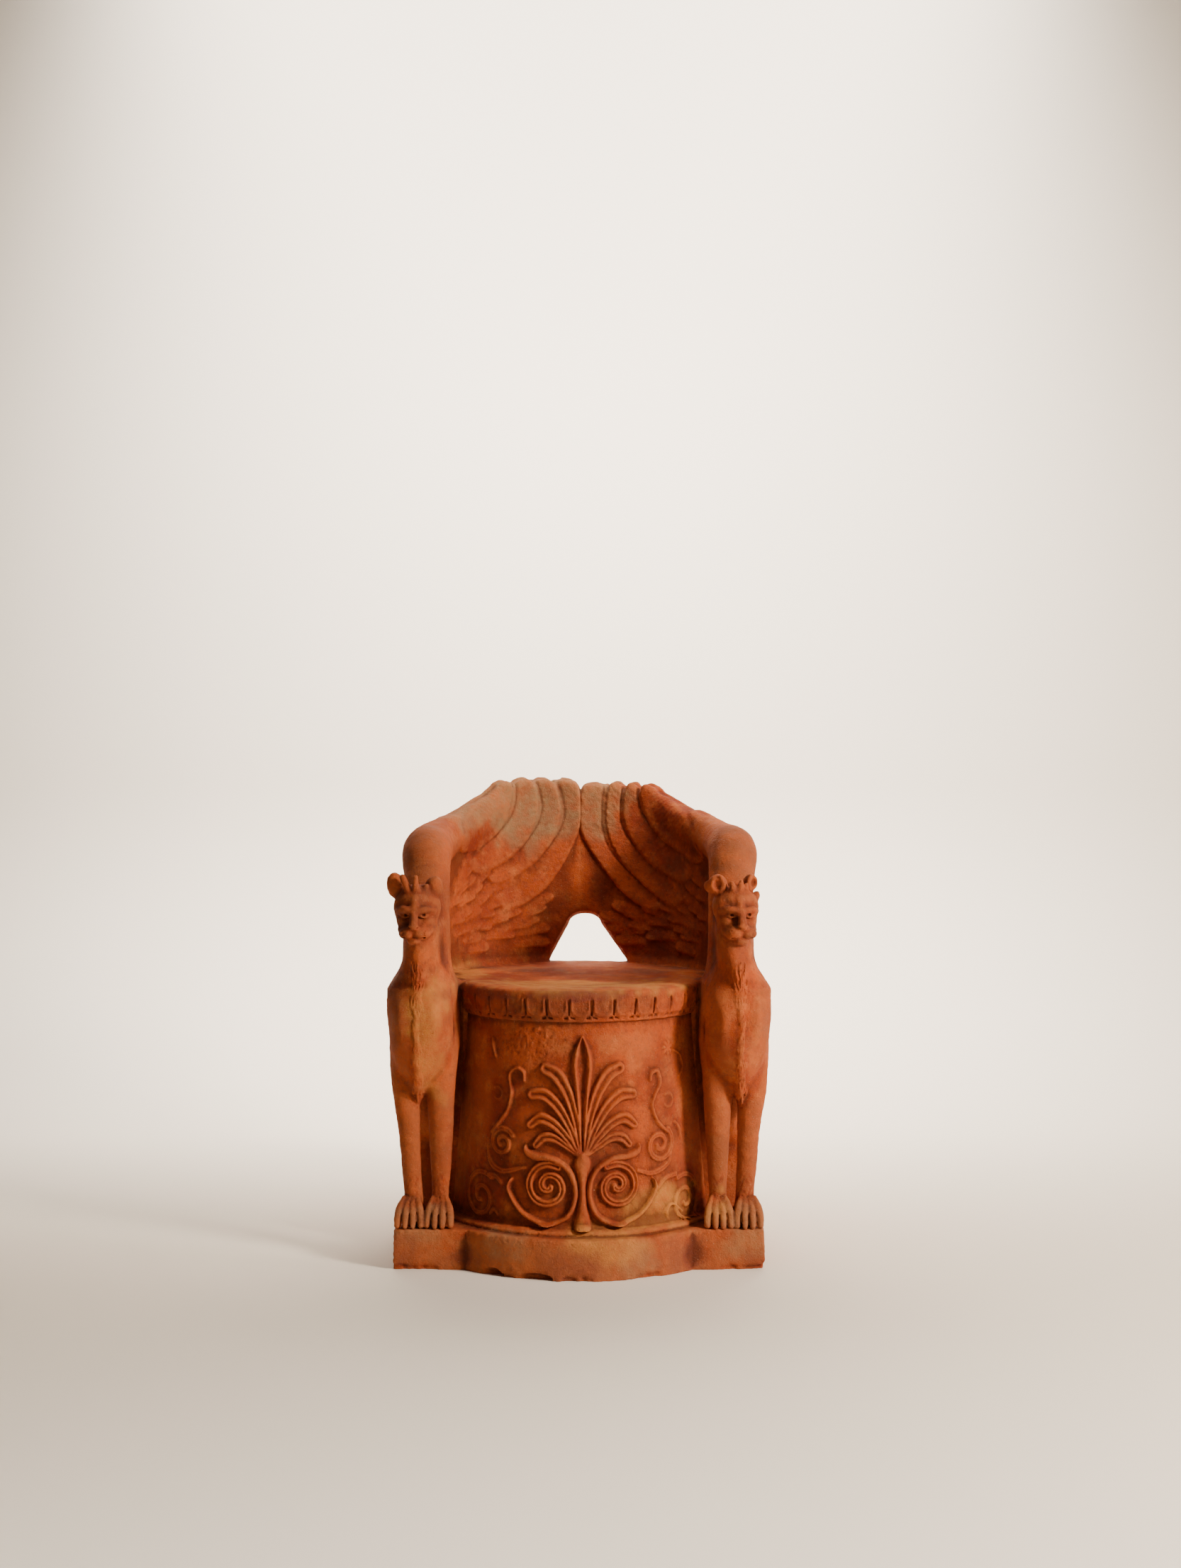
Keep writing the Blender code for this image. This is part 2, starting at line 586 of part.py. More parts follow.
def make_head(side):
    # Neck, with a beard lock below the chin, and the web that ties it to the wing behind.
    lump(side, (-0.006, 0.165, 0.780), (0.040, 0.100, 0.150))
    limb(side, [(-0.002, 0.110, 0.640, 0.068), (-0.001, 0.096, 0.700, 0.048), (0.000, 0.090, 0.760, 0.044),
                (0.000, 0.098, 0.830, 0.046), (0.000, 0.105, 0.890, 0.048)], 14)
    limb(side, [(-0.003, 0.050, 0.815, 0.020), (0.000, 0.045, 0.785, 0.021),
                (-0.004, 0.048, 0.755, 0.010)], 8)
    # Skull, forehead, cheeks, jaw and brows
    head_lump(side, (0.0, 0.06, 0.14), (0.32, 0.40, 0.33))
    head_lump(side, (0.0, -0.09, 0.20), (0.25, 0.26, 0.22))
    head_lump(side, (0.0, -0.08, -0.12), (0.26, 0.28, 0.29))
    for way in (1, -1):
        head_lump(side, (way * 0.20, -0.13, -0.12), (0.13, 0.19, 0.13))
        head_lump(side, (way * 0.14, -0.12, -0.32), (0.14, 0.24, 0.13))
        head_limb(side, [(way * 0.04, -0.35, 0.08, 0.06), (way * 0.14, -0.32, 0.12, 0.07),
                         (way * 0.24, -0.24, 0.15, 0.06), (way * 0.30, -0.14, 0.14, 0.05)])
        head_lump(side, (way * 0.098, -0.43, -0.30), (0.125, 0.14, 0.105), way * 18)
    # Nose and chin
    head_limb(side, [(0.0, -0.26, 0.26, 0.08), (0.0, -0.34, 0.10, 0.07), (0.0, -0.42, -0.06, 0.068),
                     (0.0, -0.48, -0.18, 0.078)])
    head_lump(side, (0.0, -0.37, -0.44), (0.135, 0.14, 0.08))
    # Ears and a forelock crown the head.
    if side > 0:
        make_ear(side, -1, (-0.24, -0.02, 0.46), (0.165, 0.12, 0.19), 8)
        make_ear(side, 1, (0.27, -0.03, 0.48), (0.135, 0.11, 0.18), 14)
        head_limb(side, [(-0.02, -0.21, 0.34, 0.10), (0.01, -0.22, 0.48, 0.07), (-0.01, -0.20, 0.56, 0.03)])
    else:
        make_ear(side, -1, (-0.30, 0.02, 0.44), (0.13, 0.14, 0.24), 20)
        make_ear(side, 1, (0.28, -0.02, 0.46), (0.16, 0.12, 0.20), 12)
        head_limb(side, [(-0.14, -0.18, 0.40, 0.065), (-0.20, -0.20, 0.54, 0.062),
                         (-0.26, -0.17, 0.66, 0.056)])
        head_limb(side, [(0.0, -0.24, 0.38, 0.065), (-0.01, -0.25, 0.52, 0.062),
                         (-0.02, -0.24, 0.62, 0.054)])


make_plinth()
make_drum()
make_rim_leaves()
make_palmette()
make_volutes()
make_tendrils()
make_tub()
make_wing_shell()
make_feathers()
make_leading_edges()
for beast_side in (1, -1):
    make_body(beast_side)
    make_legs(beast_side)
    make_head(beast_side)

# All forms become one skin of clay, thinned to the triangles that the carving needs.
throne_mesh = bpy.data.meshes.new("throne")
clay.to_mesh(throne_mesh)
clay.free()
throne = link("throne", throne_mesh)

fuse = throne.modifiers.new("Remesh", "REMESH")
fuse.mode = "VOXEL"
fuse.voxel_size = voxel

bpy.context.view_layer.update()
fused = throne.evaluated_get(bpy.context.evaluated_depsgraph_get())
fused_triangles = sum(len(face.vertices) - 2 for face in fused.data.polygons)

soften = throne.modifiers.new("Smooth", "SMOOTH")
soften.factor = 0.5
soften.iterations = 3

thin = throne.modifiers.new("Decimate", "DECIMATE")
thin.decimate_type = "COLLAPSE"
thin.use_collapse_triangulate = True
thin.ratio = surface_triangles / fused_triangles


# The underside is cut flat at the ground, and the middle of the seat is levelled.
def cutter_box(name, centre, size):
    form = bmesh.new()
    bmesh.ops.create_cube(form, size=1.0, matrix=Matrix.Translation(centre) @ Matrix.Diagonal((*size, 1.0)))
    mesh = bpy.data.meshes.new(name)
    form.to_mesh(mesh)
    form.free()
    return link(name, mesh, cutters)


ground_size = (cut_span, cut_span, ground_cut_depth)
ground = cutter_box("ground_cutter", (0.0, 0.0, -ground_cut_depth / 2), ground_size)
disc = bmesh.new()
bmesh.ops.create_cone(disc, cap_ends=True, segments=48, radius1=seat_flat_radius, radius2=seat_flat_radius,
                      depth=seat_cut_depth,
                      matrix=Matrix.Translation((0.0, axis_y, seat_flat_z + seat_cut_depth / 2)))
disc_mesh = bpy.data.meshes.new("seat_cutter")
disc.to_mesh(disc_mesh)
disc.free()
seat_level = link("seat_cutter", disc_mesh, cutters)

for cutter in (ground, seat_level):
    cutter.hide_render = True
    cutter.display_type = "WIRE"
    cut = throne.modifiers.new(cutter.name, "BOOLEAN")
    cut.operation = "DIFFERENCE"
    cut.object = cutter

terracotta = bpy.data.materials.new("terracotta")
terracotta.use_nodes = True
shader = terracotta.node_tree.nodes["Principled BSDF"]
shader.inputs["Base Color"].default_value = clay_colour
shader.inputs["Roughness"].default_value = clay_roughness
shader.inputs["Metallic"].default_value = 0.0
throne_mesh.materials.append(terracotta)
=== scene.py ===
import math
import time

import bmesh
import bpy
import numpy as np
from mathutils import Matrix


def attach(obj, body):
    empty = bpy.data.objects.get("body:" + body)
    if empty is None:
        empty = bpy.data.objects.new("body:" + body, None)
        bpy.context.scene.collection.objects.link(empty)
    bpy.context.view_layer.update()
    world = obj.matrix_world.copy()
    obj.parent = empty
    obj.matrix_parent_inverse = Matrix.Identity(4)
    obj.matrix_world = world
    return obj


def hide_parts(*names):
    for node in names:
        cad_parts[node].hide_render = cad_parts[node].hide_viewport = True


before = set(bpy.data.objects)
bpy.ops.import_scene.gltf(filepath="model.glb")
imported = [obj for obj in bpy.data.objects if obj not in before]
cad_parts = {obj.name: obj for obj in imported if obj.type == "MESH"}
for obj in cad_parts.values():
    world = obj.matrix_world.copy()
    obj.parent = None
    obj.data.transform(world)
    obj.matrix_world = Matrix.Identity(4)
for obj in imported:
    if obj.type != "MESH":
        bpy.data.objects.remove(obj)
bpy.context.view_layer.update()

import openvdb as vdb

started = time.time()

# The throne's own measures, in metres. The drum's axis stands a little in front of the origin.
throne = {"axisY": -0.0175, "seat": 0.463, "side": 0.268, "front": -0.2135, "ground": 0.0}


def say(words):
    print(f"throne: {words} ({time.time() - started:.0f} s)")


def fine(step):
    return step * 1.0


# Clay kit: shapes are melted together as distances on a grid, then cast as a mesh.
class Clay:
    def __init__(self, low, high, step):
        self.step = step
        counts = [np.arange(math.floor(a / step), math.ceil(b / step) + 1, dtype=np.float32)
                  for a, b in zip(low, high)]
        self.axes = [count * np.float32(step) for count in counts]
        self.field = np.full([len(axis) for axis in self.axes], 0.2, np.float32)

    def mirrored(self):
        # The same clay with left and right exchanged. Work on it shows in the original.
        twin = object.__new__(Clay)
        twin.step = self.step
        twin.axes = [-self.axes[0][::-1], self.axes[1], self.axes[2]]
        twin.field = self.field[::-1]
        return twin

    def part(self, cuts):
        piece = object.__new__(Clay)
        piece.step = self.step
        piece.axes = [axis[cut] for axis, cut in zip(self.axes, cuts)]
        piece.field = np.full([len(axis) for axis in piece.axes], 0.2, np.float32)
        return piece

    def window(self, low, high):
        cuts = []
        for axis, a, b in zip(self.axes, low, high):
            first, last = np.searchsorted(axis, (a, b))
            if first >= last:
                return None
            cuts.append(slice(int(first), int(last)))
        x, y, z = (axis[cut] for axis, cut in zip(self.axes, cuts))
        return tuple(cuts), x[:, None, None], y[None, :, None], z[None, None, :]


def melt(old, new, blend):
    if blend <= 0:
        return np.minimum(old, new)
    share = np.clip(0.5 + 0.5 * (old - new) / blend, 0, 1)
    return old + (new - old) * share - blend * share * (1 - share)


def press(clay, low, high, measure, blend, cut):
    margin = max(blend, 0.012) + 2 * clay.step
    found = clay.window([a - margin for a in low], [b + margin for b in high])
    if found is None:
        return
    cuts, x, y, z = found
    new = measure(x, y, z).astype(np.float32)
    old = clay.field[cuts]
    clay.field[cuts] = -melt(-old, new, blend) if cut else melt(old, new, blend)


def turnAbout(axis, degrees):
    a = math.radians(degrees)
    c, s = math.cos(a), math.sin(a)
    return np.array({"x": ((1, 0, 0), (0, c, -s), (0, s, c)), "y": ((c, 0, s), (0, 1, 0), (-s, 0, c)),
                     "z": ((c, -s, 0), (s, c, 0), (0, 0, 1))}[axis])


def ball(clay, centre, radii, blend=0.006, turn=None, cut=False):
    reach = radii if turn is None else [max(radii)] * 3

    def measure(x, y, z):
        place = (x - centre[0], y - centre[1], z - centre[2])
        if turn is not None:
            place = [sum(turn[row][col] * place[row] for row in range(3)) for col in range(3)]
        near = np.sqrt(sum((p / r) ** 2 for p, r in zip(place, radii)))
        slope = np.sqrt(sum((p / (r * r)) ** 2 for p, r in zip(place, radii)))
        return near * (near - 1) / np.maximum(slope, 1e-3)

    low = [c - r for c, r in zip(centre, reach)]
    high = [c + r for c, r in zip(centre, reach)]
    press(clay, low, high, measure, blend, cut)


def smoothPath(points, steps=6):
    # A smooth curve through the points, which may also carry widths.
    knots = np.array([points[0], *points, points[-1]], dtype=float)
    path = []
    for a, b, c, d in zip(knots, knots[1:], knots[2:], knots[3:]):
        for t in np.arange(steps) / steps:
            path.append(0.5 * (2 * b + (c - a) * t + (2 * a - 5 * b + 4 * c - d) * t ** 2
                               + (3 * b - a - 3 * c + d) * t ** 3))
    path.append(knots[-1])
    return np.array(path)


def rod(clay, knots, blend=0.006, cut=False, steps=5):
    # A round rod through knots of (x, y, z, radius).
    path = smoothPath(knots, steps)
    radius = float(path[:, 3].max())
    margin = max(blend, 0.012) + 2 * clay.step
    found = clay.window(path[:, :3].min(0) - radius - margin, path[:, :3].max(0) + radius + margin)
    if found is None:
        return
    piece = clay.part(found[0])
    for a, b in zip(path, path[1:]):
        reach = max(a[3], b[3]) + margin
        near = piece.window(np.minimum(a[:3], b[:3]) - reach, np.maximum(a[:3], b[:3]) + reach)
        if near is None:
            continue
        cuts, x, y, z = near
        span = b[:3] - a[:3]
        length = max(float(span @ span), 1e-12)
        share = np.clip(((x - a[0]) * span[0] + (y - a[1]) * span[1] + (z - a[2]) * span[2]) / length, 0, 1)
        away = np.sqrt((x - a[0] - share * span[0]) ** 2 + (y - a[1] - share * span[1]) ** 2
                       + (z - a[2] - share * span[2]) ** 2) - (a[3] + (b[3] - a[3]) * share)
        piece.field[cuts] = np.minimum(piece.field[cuts], away)
    old = clay.field[found[0]]
    clay.field[found[0]] = -melt(-old, piece.field, blend) if cut else melt(old, piece.field, blend)


def keepBox(clay, low, high, lap=0.006):
    # Everything outside the box is cut away. Neighbouring pieces overlap by the lap, and each sinks
    # under the other at its own end.
    for axis, (a, b) in enumerate(zip(low, high)):
        shape = [1, 1, 1]
        shape[axis] = -1
        place = clay.axes[axis].reshape(shape)
        for end in (a - lap - place, place - b - lap):
            near = np.nonzero(end.ravel() > -lap)[0]
            if len(near) == 0:
                continue
            cuts = [slice(None)] * 3
            cuts[axis] = slice(int(near[0]), int(near[-1]) + 1)
            cuts = tuple(cuts)
            clay.field[cuts] = -melt(-clay.field[cuts], -end[cuts], lap)


# Sheets: flat pictures of heights or distances, across and up, that are wrapped on round walls.
class Sheet:
    def __init__(self, left, right, low, high, pixel):
        self.pixel = pixel
        self.us = np.arange(left, right, pixel)
        self.vs = np.arange(low, high, pixel)
        self.height = np.zeros((len(self.us), len(self.vs)), np.float32)

    def read(self, u, v):
        i = np.clip((u - self.us[0]) / self.pixel, 0, len(self.us) - 1.01)
        j = np.clip((v - self.vs[0]) / self.pixel, 0, len(self.vs) - 1.01)
        a, b = i.astype(np.int32), j.astype(np.int32)
        s, t = (i - a).astype(np.float32), (j - b).astype(np.float32)
        h = self.height
        below = h[a, b] * (1 - s) + h[a + 1, b] * s
        above = h[a, b + 1] * (1 - s) + h[a + 1, b + 1] * s
        return below * (1 - t) + above * t

    def wrapped(self, across, ups):
        # Values for every upright line of a grid, where across is known line by line.
        rows = self.read(self.us[:, None], ups[None, :])
        i = np.clip((across - self.us[0]) / self.pixel, 0, len(self.us) - 1.01)
        a = i.astype(np.int32)
        s = (i - a).astype(np.float32)[..., None]
        return rows[a] * (1 - s) + rows[a + 1] * s

    def soften(self, rounds):
        for axis in (0, 1) * rounds:
            ahead, behind = (np.roll(self.height, shift, axis) for shift in (1, -1))
            self.height = (ahead + 2 * self.height + behind) / 4


def softStep(value, low, high):
    t = np.clip((value - low) / (high - low), 0, 1)
    return t * t * (3 - 2 * t)


def outlineSheet(points, sheet):
    # Signed distance to a closed outline, negative inside.
    u, v = sheet.us[:, None], sheet.vs[None, :]
    best = np.full(sheet.height.shape, 1e9)
    inside = np.zeros(sheet.height.shape, bool)
    for (au, av), (bu, bv) in zip(points, [*points[1:], points[0]]):
        eu, ev = bu - au, bv - av
        share = np.clip(((u - au) * eu + (v - av) * ev) / max(eu * eu + ev * ev, 1e-12), 0, 1)
        best = np.minimum(best, (u - au - share * eu) ** 2 + (v - av - share * ev) ** 2)
        crosses = (av > v) != (bv > v)
        slope = eu / ev if abs(ev) > 1e-12 else 0.0
        inside ^= crosses & (u < au + (v - av) * slope)
    return (np.sqrt(best) * np.where(inside, -1, 1)).astype(np.float32)


def stroke(sheet, knots, shape, added=False, steps=6):
    # A stroke through knots of (across, up, half width). shape(side, along) gives its height: side runs
    # from -1 at its right-hand edge to 1 at its left-hand one, and along from 0 to 1. Where strokes cross,
    # the higher one shows, or their heights are added.
    path = smoothPath(knots, steps)
    wide = float(path[:, 2].max()) * 1.05
    i0, i1 = np.searchsorted(sheet.us, (path[:, 0].min() - wide, path[:, 0].max() + wide))
    j0, j1 = np.searchsorted(sheet.vs, (path[:, 1].min() - wide, path[:, 1].max() + wide))
    if i0 >= i1 or j0 >= j1:
        return
    u, v = sheet.us[i0:i1, None], sheet.vs[None, j0:j1]
    best = np.full((i1 - i0, j1 - j0), 1e9)
    side = np.zeros_like(best)
    along = np.zeros_like(best)
    count = len(path) - 1
    for index, (a, b) in enumerate(zip(path, path[1:])):
        eu, ev = b[0] - a[0], b[1] - a[1]
        length = max(eu * eu + ev * ev, 1e-12)
        share = np.clip(((u - a[0]) * eu + (v - a[1]) * ev) / length, 0, 1)
        away = np.hypot(u - a[0] - share * eu, v - a[1] - share * ev)
        ratio = away / np.maximum(a[2] + (b[2] - a[2]) * share, 1e-5)
        hand = np.sign(eu * (v - a[1]) - ev * (u - a[0]))
        closer = ratio < best
        best = np.where(closer, ratio, best)
        side = np.where(closer, hand * ratio, side)
        along = np.where(closer, (index + share) / count, along)
    height = np.where(best < 1, shape(side, along), 0)
    old = sheet.height[i0:i1, j0:j1]
    sheet.height[i0:i1, j0:j1] = old + height if added else np.maximum(old, height)


# Profiles of carved strokes
def roundBand(height, edge=0.55):
    return lambda side, along: height * (1 - softStep(np.abs(side), edge, 1.0))


def doubleBand(height, hollow=0.7):
    # Two raised edges with a hollow between them.
    def shape(side, along):
        rise = 1 - softStep(np.abs(side), 0.72, 1.0)
        dip = 1 - softStep(np.abs(side), 0.0, 0.62)
        return height * (rise - hollow * dip)
    return shape


# Random grain
lot = np.random.default_rng(11)
noiseCube = lot.random((64, 64, 64), dtype=np.float32) * 2 - 1
pitCube = lot.random((32, 32, 32, 4), dtype=np.float32)


def grain(points, size, shift=0.0):
    # Smooth noise from -1 to 1 with features of about the size given.
    place = points / size + shift
    cell = np.floor(place).astype(np.int64)
    t = (place - cell).astype(np.float32)
    t = t * t * (3 - 2 * t)
    total = 0
    for corner in np.ndindex(2, 2, 2):
        weight = 1
        for axis in range(3):
            weight = weight * (t[:, axis] if corner[axis] else 1 - t[:, axis])
        at = (cell + corner) & 63
        total = total + weight * noiseCube[at[:, 0], at[:, 1], at[:, 2]]
    return total


def pits(points, cell, share, radius):
    # Scattered round pits, one cell apart at most, as depths from 0 to 1.
    place = points / cell
    base = np.floor(place - 0.5).astype(np.int64)
    deep = np.zeros(len(points), np.float32)
    for corner in np.ndindex(2, 2, 2):
        at = base + corner
        draw = pitCube[at[:, 0] & 31, at[:, 1] & 31, at[:, 2] & 31]
        away = np.linalg.norm(place - at - draw[:, :3], axis=1) * cell
        size = radius * (0.5 + draw[:, 3] / share)
        deep = np.maximum(deep, np.where(draw[:, 3] < share, 1 - softStep(away / size, 0.3, 1.0), 0))
    return deep


# Casting: the clay's surface becomes a mesh with its grain, its stains and a hollow measure that the finish
# uses for painted shade.
surface = {
    "wobble": (0.055, 0.0008), "lumps": (0.016, 0.0005), "tooth": (0.0055, 0.00042),
    "sand": (0.0026, 0.00022), "pits": (0.014, 0.40, 0.0016), "pitDepth": 0.0011, "hollow": 0.0012,
}


def normalsOf(points, triangles):
    a, b, c = (points[triangles[:, i]] for i in range(3))
    faces = np.cross(b - a, c - a)
    normals = np.zeros_like(points)
    for corner in range(3):
        for axis in range(3):
            normals[:, axis] += np.bincount(triangles[:, corner], faces[:, axis], len(points))
    return normals / np.maximum(np.linalg.norm(normals, axis=1), 1e-12)[:, None]


def relaxed(points, triangles, rounds):
    edges = np.concatenate([triangles[:, (0, 1)], triangles[:, (1, 2)], triangles[:, (2, 0)]])
    a, b = np.concatenate([edges, edges[:, ::-1]]).T
    count = np.maximum(np.bincount(a, minlength=len(points)), 1)[:, None]
    for _ in range(rounds):
        points = np.stack([np.bincount(a, points[b, axis], len(points)) for axis in range(3)], axis=1) / count
    return points


def cast(name, clay, thin=0.02, mirror=False, rough=1.0):
    field = np.clip(clay.field, -3 * clay.step, 3 * clay.step)
    grid = vdb.FloatGrid(background=3 * clay.step)
    grid.copyFromArray(np.ascontiguousarray(field))
    points, triangles, quads = grid.convertToPolygons(isovalue=0.0, adaptivity=thin)
    points = np.array(points, float) * clay.step + np.array([axis[0] for axis in clay.axes], float)
    quads = np.array(quads, np.int64).reshape(-1, 4)
    triangles = np.array(triangles, np.int64).reshape(-1, 3)
    split = np.concatenate([triangles, quads[:, (0, 1, 2)], quads[:, (0, 2, 3)]])
    if mirror:
        points[:, 0] *= -1
    a, b, c = (points[split[:, i]] for i in range(3))
    if np.einsum("ij,ij->i", a, np.cross(b, c)).sum() < 0:
        quads, triangles, split = quads[:, ::-1], triangles[:, ::-1], split[:, ::-1]
    normals = normalsOf(points, split)
    # How hollow each point lies: the finish paints shade into hollows and pales ridges as edge wear.
    around = relaxed(points, split, 8)
    hollow = np.einsum("ij,ij->i", around - points, normals) / surface["hollow"]
    push = np.zeros(len(points))
    for index, key in enumerate(("wobble", "lumps", "tooth", "sand")):
        size, amount = surface[key]
        push += amount * (1 if index == 0 else rough) * grain(points, size, 3.7 * index)
    push -= surface["pitDepth"] * rough * pits(points, *surface["pits"])
    bare = normals[:, 2] < -0.95
    push[bare & (points[:, 2] < 0.002)] = 0
    points = points + normals * push[:, None]
    points[:, 2] = np.maximum(points[:, 2], throne["ground"])

    mesh = bpy.data.meshes.new(name)
    mesh.from_pydata(points.tolist(), [], quads.tolist() + triangles.tolist())
    mesh.update()
    say(f"{name}: {len(split)} triangles")
    return placed(mesh, points, normals, hollow)


def placed(mesh, points, normals, hollow):
    mesh.polygons.foreach_set("use_smooth", np.ones(len(mesh.polygons), bool))
    for label, values in [("hollow", np.clip(hollow, -1, 1)), *stainsAt(points, normals)]:
        layer = mesh.attributes.new(label, "FLOAT", "POINT")
        layer.data.foreach_set("value", np.asarray(values, np.float32))
    piece = bpy.data.objects.new(mesh.name, mesh)
    bpy.context.scene.collection.objects.link(piece)
    return piece


# Stains and weathering, with some painted shade, as soft spots of (centre, size, strength). Their edges are
# broken up by grain.
stains = {
    # Dark patina; painted shade is the spot inside the right wing and the extra strength of the left beast's
    # leg and outer-side spots over the right beast's.
    "smoke": [((-0.29, -0.09, 0.68), (0.06, 0.10, 0.10), 1.0), ((0.29, -0.09, 0.68), (0.06, 0.10, 0.10), 1.0),
              ((-0.27, -0.15, 0.58), (0.07, 0.09, 0.11), 0.9),
              ((0.265, -0.15, 0.58), (0.07, 0.09, 0.11), 0.9),
              ((-0.265, -0.17, 0.18), (0.07, 0.08, 0.14), 0.75),
              ((0.265, -0.17, 0.18), (0.07, 0.08, 0.14), 0.6),
              ((-0.262, -0.19, 0.09), (0.08, 0.06, 0.03), 1.0),
              ((0.262, -0.19, 0.09), (0.08, 0.06, 0.03), 1.0),
              ((-0.31, -0.15, 0.42), (0.03, 0.09, 0.10), 0.8),
              ((0.31, -0.15, 0.42), (0.03, 0.09, 0.10), 0.5), ((0.20, 0.12, 0.60), (0.12, 0.20, 0.16), 0.7),
              ((-0.03, -0.22, 0.435), (0.21, 0.06, 0.03), 0.85)],
    "bloom": [((-0.08, 0.22, 0.80), (0.17, 0.20, 0.115), 1.0), ((0.02, 0.23, 0.76), (0.055, 0.10, 0.08), 0.9),
              ((-0.17, 0.15, 0.76), (0.09, 0.12, 0.055), 0.8),
              ((-0.22, -0.05, 0.74), (0.03, 0.05, 0.03), 0.4)],
    "ochre": [((-0.02, -0.12, 0.46), (0.18, 0.10, 0.02), 1.0),
              ((0.15, -0.20, 0.11), (0.10, 0.09, 0.045), 0.9),
              ((0.05, -0.28, 0.06), (0.07, 0.05, 0.04), 0.8),
              ((-0.25, -0.20, 0.42), (0.045, 0.05, 0.06), 0.7),
              ((-0.20, 0.05, 0.47), (0.04, 0.14, 0.02), 0.8),
              ((-0.24, -0.205, 0.33), (0.03, 0.05, 0.06), 0.5)],
    "soot": [((-0.12, 0.12, 0.463), (0.10, 0.04, 0.015), 0.9),
             ((-0.19, -0.10, 0.463), (0.05, 0.05, 0.02), 0.6),
             ((0.15, 0.10, 0.463), (0.06, 0.06, 0.02), 0.6)],
    "plum": [((-0.015, -0.29, 0.020), (0.060, 0.05, 0.032), 1.0),
             ((0.170, -0.24, 0.030), (0.050, 0.06, 0.036), 0.9),
             ((-0.29, -0.21, 0.03), (0.03, 0.05, 0.03), 0.9),
             ((-0.19, -0.23, 0.020), (0.05, 0.05, 0.02), 0.8),
             ((0.30, -0.21, 0.02), (0.03, 0.05, 0.02), 0.7), ((0.29, -0.09, 0.68), (0.03, 0.06, 0.05), 0.5),
             ((0.0, -0.23, 0.452), (0.11, 0.03, 0.010), 0.9),
             ((-0.17, -0.14, 0.450), (0.08, 0.08, 0.012), 0.9),
             # Painted shade in the crease between the left beast's neck and its wing; the other spots are
             # plum stains.
             ((-0.232, -0.11, 0.50), (0.012, 0.04, 0.03), 0.8)],
    "dust": [((-0.125, -0.26, 0.050), (0.060, 0.06, 0.024), 1.0),
             ((0.100, -0.27, 0.035), (0.042, 0.06, 0.034), 1.0),
             ((0.270, -0.21, 0.045), (0.050, 0.05, 0.034), 0.9),
             ((-0.260, -0.21, 0.055), (0.060, 0.05, 0.020), 0.9),
             ((0.0, 0.0, 0.03), (0.5, 0.5, 0.05), 0.40), ((0.0, 0.2, 0.03), (0.4, 0.2, 0.05), 0.8),
             ((-0.25, -0.215, 0.085), (0.08, 0.05, 0.03), 0.6),
             ((0.26, -0.215, 0.085), (0.08, 0.05, 0.03), 0.7)],
}


def stainsAt(points, normals):
    for label, spots in stains.items():
        ragged = 0.35 * grain(points, 0.045, 5.0 + len(label)) + 0.25 * grain(points, 0.014, 9.0 + len(label))
        amount = np.zeros(len(points))
        for centre, size, strength in spots:
            away = np.linalg.norm((points - centre) / size, axis=1)
            amount = np.maximum(amount, strength * (1 - softStep(away + ragged, 0.55, 1.15)))
        yield label, amount


# Drum seat: its turned body and the carving on its front.
drum = {
    "profile": [(-0.02, 0.4570), (0.09, 0.4572), (0.14, 0.4595), (0.180, 0.4622), (0.197, 0.4626),
                (0.207, 0.4611), (0.2130, 0.4570),
                (0.2125, 0.4500), (0.2105, 0.4420), (0.2075, 0.4250), (0.2060, 0.4150), (0.2070, 0.4130),
                (0.2070, 0.4105), (0.2030, 0.4088), (0.2275, 0.0830), (0.2310, 0.0762), (0.2440, 0.0730),
                (0.2470, 0.0702), (0.2470, 0.0300), (-0.02, 0.0300)],
    "dishPoints": 5, "footRadius": 0.2275, "topRadius": 0.203, "footZ": 0.083, "topZ": 0.409,
    "turn": math.radians(1.5), "step": 0.0015, "relief": 0.0085,
}

# The palmette's right half, in millimetres from the relief's middle: (across, up, half width).
palmette = {
    "lobes": [
        [(4, 200, 2.5), (10, 245, 5), (23, 291, 7.5), (41, 322, 9.5), (60, 333, 8.5)],
        [(6, 198, 2.5), (19, 235, 5), (39, 270, 7.5), (62, 290, 9.0), (83, 290, 7.5)],
        [(8, 197, 2.5), (25, 222, 5), (47, 244, 7.0), (69, 252, 8.0), (86, 241, 6.0)],
        [(9, 195, 2.5), (27, 209, 4), (46, 221, 6.0), (64, 221, 6.5), (77, 209, 5.0)],
    ],
    "leaf": [(0, 196, 2), (0, 250, 7), (0, 300, 12.5), (0, 340, 18), (0, 365, 12), (0, 384, 2)],
    "stem": [(0, 193, 7), (0, 181, 13.5), (0, 165, 9), (0, 145, 5.5), (0, 120, 6.5), (0, 98, 10),
             (0, 82, 14)],
    "band": [(121, 150, 2.5), (125, 132, 5.0), (99, 98, 5.5), (58, 83, 5.5), (24, 97, 5.5), (11, 133, 5.5),
             (21, 168, 5.5), (47, 187, 5.5), (74, 190, 8), (90, 196, 8), (95, 206, 2.5)],
    "coil": {"centre": (56, 144), "start": 118, "turns": -1.75,
             "radii": (35, 32.5, 30.5, 25, 18.5, 12.5, 8, 4.5), "widths": (6.5, 4.5)},
}
